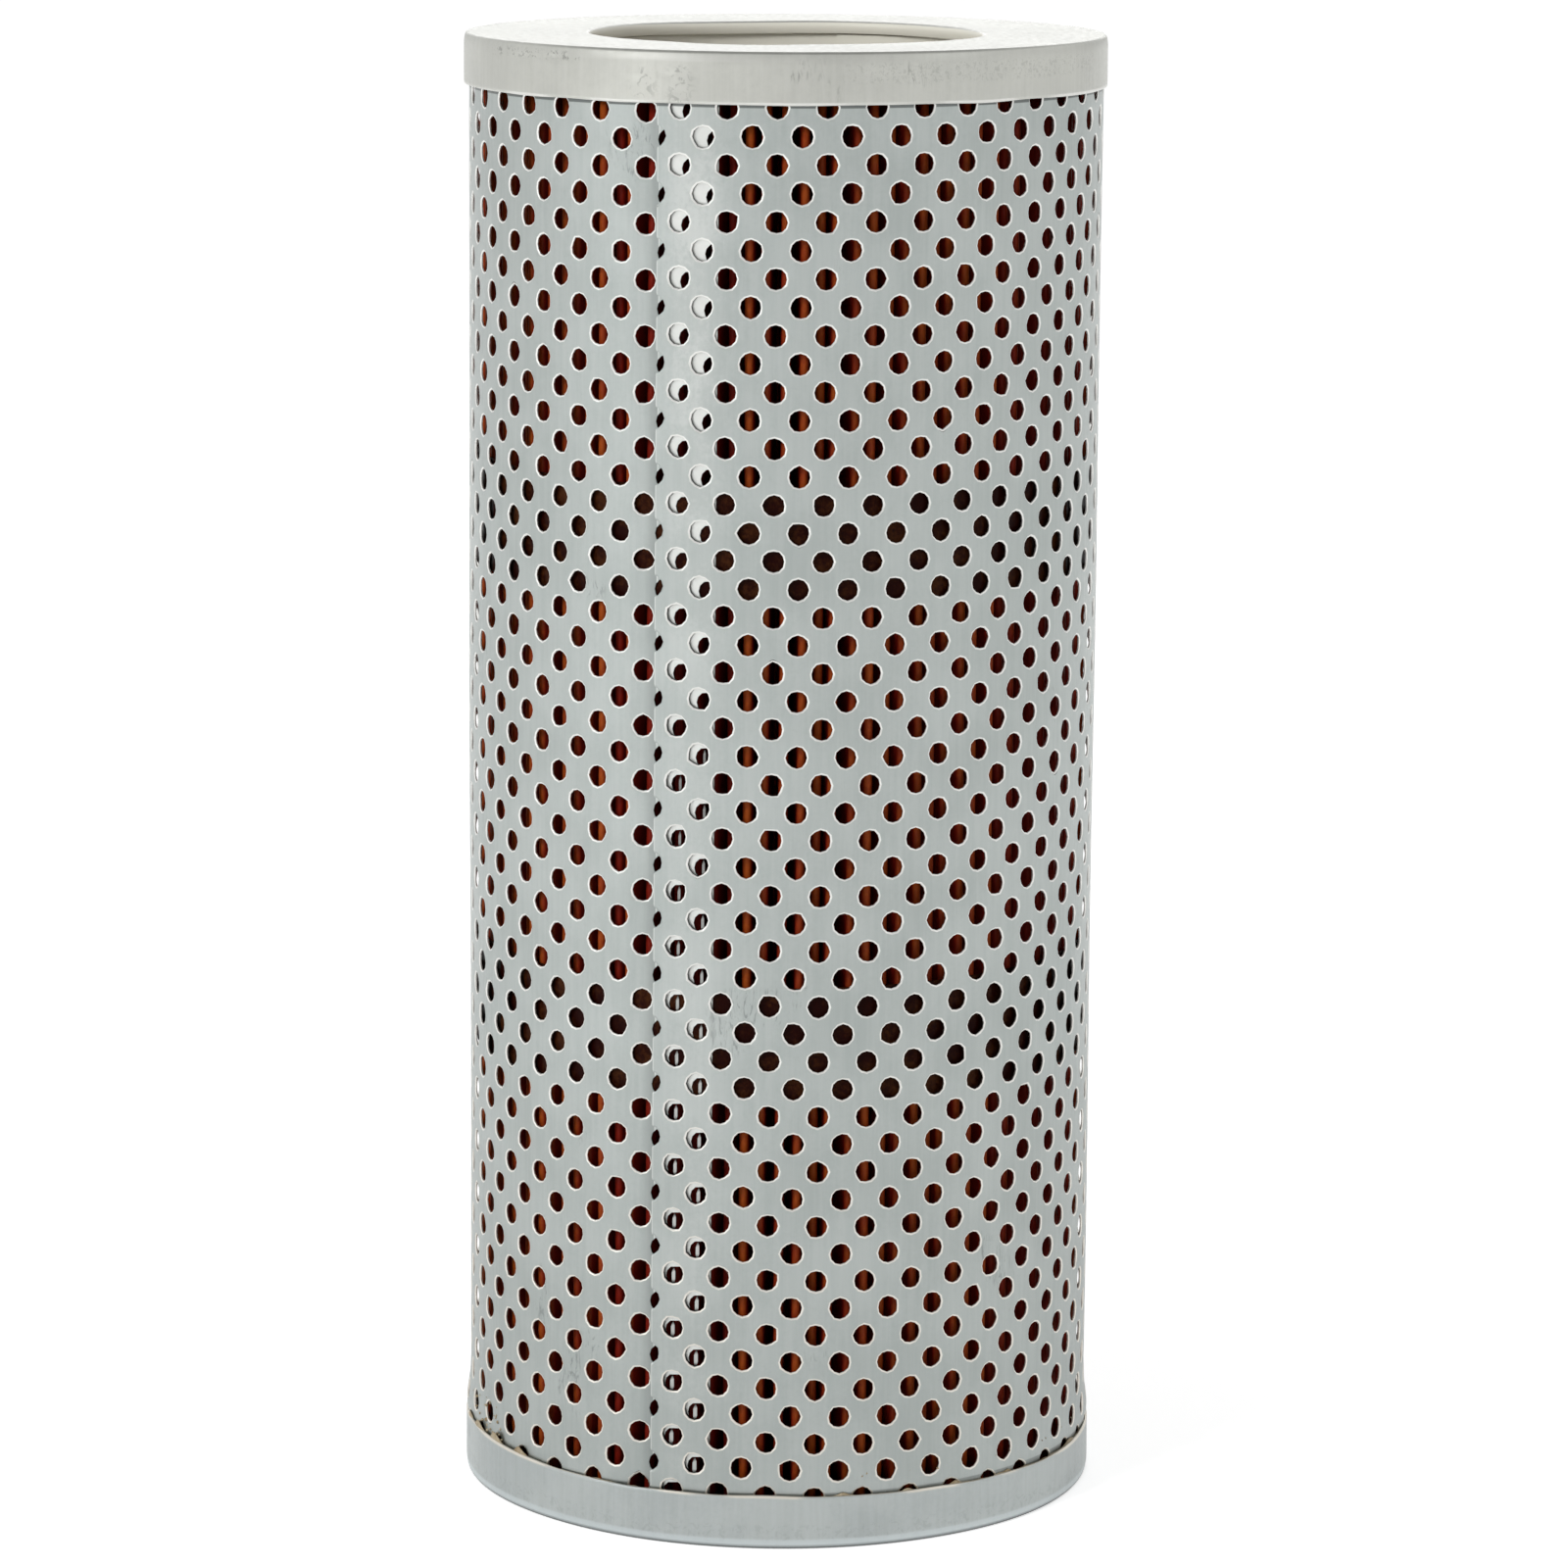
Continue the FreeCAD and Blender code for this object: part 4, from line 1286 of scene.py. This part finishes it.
class FILTER_OT_end_caps(bpy.types.Operator):
    """Build both pressed end caps with their rounded corners, lips and dents"""

    bl_idname = "filter_element.end_caps"
    bl_label = "End Caps"

    def execute(self, context):
        look = context.scene.filter_caps
        top = ELEMENT_HEIGHT
        # The upper cap: a painted highlight along its rim, and a painted highlight round its
        # shoulder that is strongest at -17 degrees
        self.press(
            look, "pressed_cap_upper", "top_end_cap", UPPER_SKIRT, seed=51,
            tones=(look.top_dark, look.top_light, look.rubbed_and_highlight), creamed=0.0,
            dents=UPPER_DENTS, rim_highlight=1.0,
            shoulder_highlight=0.08 + 0.14 * bell_round(CAP_DEGREES, -17, 12),
            patches=(((-64, -38), (top - 0.0027, top - 0.0011), 900.0, 0.5),
                     ((-27, -23), (top - 0.0090, top - 0.0035), 520.0, 0.34),
                     ((-20, -16.5), (top - 0.0100, top - 0.0030), 560.0, 0.36),
                     ((10, 70), (top - 0.0060, top - 0.0022), 1300.0, 0.2)), lines=(),
        )
        # The lower cap: a weaker painted highlight along its rim, a painted reflection of the floor
        # round its shoulder, and a band of painted shadow where it stands on the floor
        self.press(
            look, "pressed_cap_lower", "bottom_end_cap", CAP_HEIGHT, seed=52,
            tones=(look.low_dark, look.low_light, (0.60, 0.65, 0.66)), creamed=0.6,
            dents=LOWER_DENTS, rim_highlight=0.6, shoulder_highlight=0.30,
            patches=(((-80, 80), (0.0012, 0.0050), 700.0, 0.12),),
            lines=((-0.001, 0.0009, 0.85),),
        )
        return {"FINISHED"}

    def press(self, look, name, node, skirt, seed, tones, creamed, dents, rim_highlight,
              shoulder_highlight, patches, lines):
        """Builds one cap, lower side down, and turns the upper one over. The lower rim
        rises and falls by the bell curves of RIM_WAVES."""
        profile = cap_profile(CAP_RADIUS, skirt, look.sheet, look.corner, look.shoulder,
                              look.lean, look.bore, lip_corner=0.001, lip_height=look.lip)
        points, faces = turned_ring(profile, len(CAP_DEGREES), pressed_cap(seed, dents))
        marks = cap_marks(points, look.bore, skirt, rim_highlight, shoulder_highlight)
        if node == "top_end_cap":
            points[..., 2] = ELEMENT_HEIGHT - points[..., 2]
            faces = faces[:, ::-1]
        else:
            on_rim = soft_step(0.006, skirt, points[..., 2])
            for angle, rise, wide in RIM_WAVES:
                points[..., 2] += rise * on_rim * bell_round(CAP_DEGREES, angle, wide)
        steel = plated_steel(name + "_plate", *tones, rough=0.38, streaks=0.16,
                             scuff_amount=0.09, creamed=creamed, patches=patches,
                             lines=lines, pale_radius=look.bore + 0.0003)
        new_piece(name, points, [faces], [node], steel, marks=marks)


class FILTER_OT_adhesive(bpy.types.Operator):
    """Build the adhesive in both caps, its bead along the lower rim and its crumbs"""

    bl_idname = "filter_element.adhesive"
    bl_label = "Adhesive"

    def execute(self, context):
        look = context.scene.filter_caps
        cast = adhesive_material(look.tan, look.cream)
        beads = (("set_adhesive_lower", "bottom_adhesive", CAP_HEIGHT - 0.0004, BEAD_BLOBS),
                 ("set_adhesive_upper", "top_adhesive", CAP_HEIGHT - 0.0022, ()))
        for name, node, bead, lumps in beads:
            profile = adhesive_profile(CAP_RADIUS, look.sheet, look.hollow, ADHESIVE_INNER,
                                       FOOT_TOP, SHELL_RADIUS + 0.00003, bead)
            bend = squeezed_bead(bead, lumps, seed=61)
            points, faces = turned_ring(profile, BEAD_SEGMENTS, bend)
            if node == "top_adhesive":
                points[..., 2] = ELEMENT_HEIGHT - points[..., 2]
                faces, ends = [faces[:, ::-1]], []
            else:
                points, faces, ends = self.with_crumbs(points, faces)
            new_piece(name, points, faces, [node], cast, flats=ends)
        return {"FINISHED"}

    def with_crumbs(self, points, faces):
        """Adds crumbs along the foot of the shell: most towards the left, where the
        shell flares, and a few on the right."""
        rng = np.random.default_rng(62)
        left = np.stack([rng.uniform(-84, -60, 40), 0.0120 + 0.0075 * rng.random(40) ** 2,
                         rng.uniform(0.00012, 0.00034, 40)], axis=1)
        right = np.stack([rng.uniform(5, 80, 12), rng.uniform(0.0139, 0.0150, 12),
                          rng.uniform(0.00012, 0.00024, 12)], axis=1)
        lumps, sides, ends = crumbs(np.concatenate([left, right]), rng)
        first = points.reshape(-1, 3).shape[0]
        points = np.concatenate([points.reshape(-1, 3), lumps])
        return points, [faces, sides + first], [ends + first]


class FILTER_OT_stage(bpy.types.Operator):
    """Set up the floor, the camera and plain soft light"""

    bl_idname = "filter_element.stage"
    bl_label = "Stage"

    def execute(self, context):
        look = context.scene.filter_stage
        self.add_floor()
        self.add_camera(context, look)
        self.add_lamps()
        self.add_surround(look)
        context.scene.view_settings.view_transform = "Standard"
        return {"FINISHED"}

    def add_floor(self):
        """A wide disc under the element: pale, white to the camera, with its shadow."""
        rim = ring_points(FLOOR_RADIUS, np.arange(FLOOR_CORNERS) * 360 / FLOOR_CORNERS, 0.0)
        mesh = bpy.data.meshes.new("floor")
        mesh.from_pydata(rim.tolist(), [], [list(range(FLOOR_CORNERS))])
        floor = bpy.data.objects.new("floor", mesh)
        bpy.context.scene.collection.objects.link(floor)
        material = bpy.data.materials.new("pale_floor")
        material.use_nodes = True
        tree = material.node_tree
        shader = tree.nodes["Principled BSDF"]
        noise = add_node(tree, "ShaderNodeTexNoise", {"Scale": 40.0, "Detail": 4.0})
        tree.links.new(ranged(tree, noise.outputs[0], 0.3, 0.7, 0.85, 0.95),
                       shader.inputs["Roughness"])
        shader.inputs["Base Color"].default_value = (0.86, 0.86, 0.86, 1)
        shader.inputs["Specular IOR Level"].default_value = 0.0
        camera, seen = ray_masks(tree)
        place = tree.nodes.new("ShaderNodeTexCoord").outputs["Object"]
        away = add_node(tree, "ShaderNodeVectorMath", {0: place}, operation="LENGTH")
        across = add_node(tree, "ShaderNodeSeparateXYZ", {0: place}).outputs["X"]
        sideways = worked(tree, "ABSOLUTE", across, 0.0, clamped=False)
        mirrored = times(tree, ranged(tree, away.outputs["Value"], 0.1, 0.7, 0.435, 0.60),
                         ranged(tree, sideways, 0.2, 0.6, 1.0, 1.13), clamped=False)
        straight = times(tree, camera, 0.62)
        lift = times(tree, seen, worked(tree, "MAXIMUM", mirrored, straight))
        tree.links.new(lift, shader.inputs["Emission Color"])
        shader.inputs["Emission Strength"].default_value = 1.0
        mesh.materials.append(material)

    def add_camera(self, context, look):
        """The camera's axes come from its three turns, multiplied in their order."""
        (c, s), (d, t), (e, u) = ((np.cos(turn), np.sin(turn)) for turn in CAMERA_TURNS)
        turn = (
            Matrix(((c, -s, 0), (s, c, 0), (0, 0, 1)))
            @ Matrix(((1, 0, 0), (0, d, t), (0, -t, d)))
            @ Matrix(((e, 0, u), (0, 1, 0), (-u, 0, e)))
        )
        right, forward, up = turn.col
        data = bpy.data.cameras.new("camera")
        data.lens = look.lens
        data.sensor_width = SENSOR_WIDTH
        data.shift_x, data.shift_y = CAMERA_SHIFT
        data.clip_end = 100.0
        camera = bpy.data.objects.new("camera", data)
        axes = Matrix((right, up, -forward)).transposed().to_4x4()
        camera.matrix_world = Matrix.Translation((0, -look.distance, look.eye_height)) @ axes
        context.scene.collection.objects.link(camera)
        context.scene.camera = camera

    def add_lamps(self):
        """Soft lamps from the left, one from the right and one low behind, each given
        as (name, angle, distance, height, size, watts, whether metal mirrors it)."""
        lamps = (
            ("key_light", -40, 1.6, 0.95, 0.5, 11.0, False),
            ("left_light", -56, 1.6, 0.75, 0.8, 2.0, True),
            ("right_light", 62, 1.7, 0.80, 0.35, 0.35, True),
            ("back_light", 180, 1.9, 0.62, 1.0, 3.2, True),
        )
        for name, degrees, away, height, size, power, mirrored in lamps:
            data = bpy.data.lights.new(name, "AREA")
            data.shape = "DISK"
            data.size = size
            data.energy = power
            lamp = bpy.data.objects.new(name, data)
            place = ring_points(away, float(degrees), height)
            aim = Matrix.Translation(place.tolist()).translation
            target = Matrix.Translation((0, 0, 0.15)).translation
            lamp.rotation_euler = (target - aim).to_track_quat("-Z", "Y").to_euler()
            lamp.location = aim
            lamp.visible_camera = False
            lamp.visible_glossy = mirrored
            bpy.context.scene.collection.objects.link(lamp)

    def add_surround(self, look):
        """An even light from all sides. Seen or mirrored it is white, a little duller
        overhead and low down, and varies slightly from left to right."""
        world = bpy.data.worlds.new("surround")
        bpy.context.scene.world = world
        world.use_nodes = True
        tree = world.node_tree
        tree.nodes.clear()
        camera, seen = ray_masks(tree)
        plain = add_node(tree, "ShaderNodeBackground", {
            "Color": (1, 1, 1, 1), "Strength": look.surround,
        })
        axis = add_node(tree, "ShaderNodeSeparateXYZ", {
            0: tree.nodes.new("ShaderNodeTexCoord").outputs["Generated"],
        })
        level = ranged(tree, axis.outputs["Z"], 0.08, 0.35, 0.86, 1.0)
        level = times(tree, level, ranged(tree, axis.outputs["Z"], 0.5, 0.85, 1.0, 0.5))
        for low, high, start, stop in ((-0.9, 0.1, 1.12, 0.9), (0.2, 0.9, 1.0, 1.07)):
            side = ranged(tree, axis.outputs["X"], low, high, start, stop)
            level = times(tree, level, side, clamped=False)
        level = worked(tree, "MAXIMUM", level, camera)
        white = add_node(tree, "ShaderNodeBackground", {"Color": (1, 1, 1, 1), "Strength": level})
        blend = add_node(tree, "ShaderNodeMixShader", {0: seen, 1: plain.outputs[0],
                                                       2: white.outputs[0]})
        output = tree.nodes.new("ShaderNodeOutputWorld")
        tree.links.new(blend.outputs[0], output.inputs["Surface"])


PIECES = (
    FILTER_OT_outer_shell, FILTER_OT_centre_tube, FILTER_OT_paper, FILTER_OT_wrap_bands,
    FILTER_OT_end_caps, FILTER_OT_adhesive, FILTER_OT_stage,
)


class FILTER_PT_element(bpy.types.Panel):
    """Lists the settings and the pieces"""

    bl_idname = "FILTER_PT_element"
    bl_label = "Filter Element"
    bl_space_type = "VIEW_3D"
    bl_region_type = "UI"
    bl_category = "Filter Element"

    def draw(self, context):
        for group in SETTINGS:
            settings = getattr(context.scene, group)
            box = self.layout.box()
            for name in settings.__annotations__:
                box.prop(settings, name)
        for piece in PIECES:
            self.layout.operator(piece.bl_idname)


SETTINGS = {
    "filter_sheets": SheetSettings, "filter_paper": PaperSettings,
    "filter_caps": CapSettings, "filter_stage": StageSettings,
}


def register():
    """Registers the settings, the operators and the panel."""
    for settings in SETTINGS.values():
        bpy.utils.register_class(settings)
    for name, settings in SETTINGS.items():
        setattr(bpy.types.Scene, name, PointerProperty(type=settings))
    for piece in (*PIECES, FILTER_PT_element):
        bpy.utils.register_class(piece)


def unregister():
    """Takes back what register added."""
    for piece in (FILTER_PT_element, *reversed(PIECES)):
        bpy.utils.unregister_class(piece)
    for name, settings in SETTINGS.items():
        delattr(bpy.types.Scene, name)
        bpy.utils.unregister_class(settings)


def main():
    """Builds every piece and the stage."""
    register()
    bpy.ops.filter_element.outer_shell()
    bpy.ops.filter_element.centre_tube()
    bpy.ops.filter_element.paper()
    bpy.ops.filter_element.wrap_bands()
    bpy.ops.filter_element.end_caps()
    bpy.ops.filter_element.adhesive()
    bpy.ops.filter_element.stage()


if __name__ == "__main__":
    main()
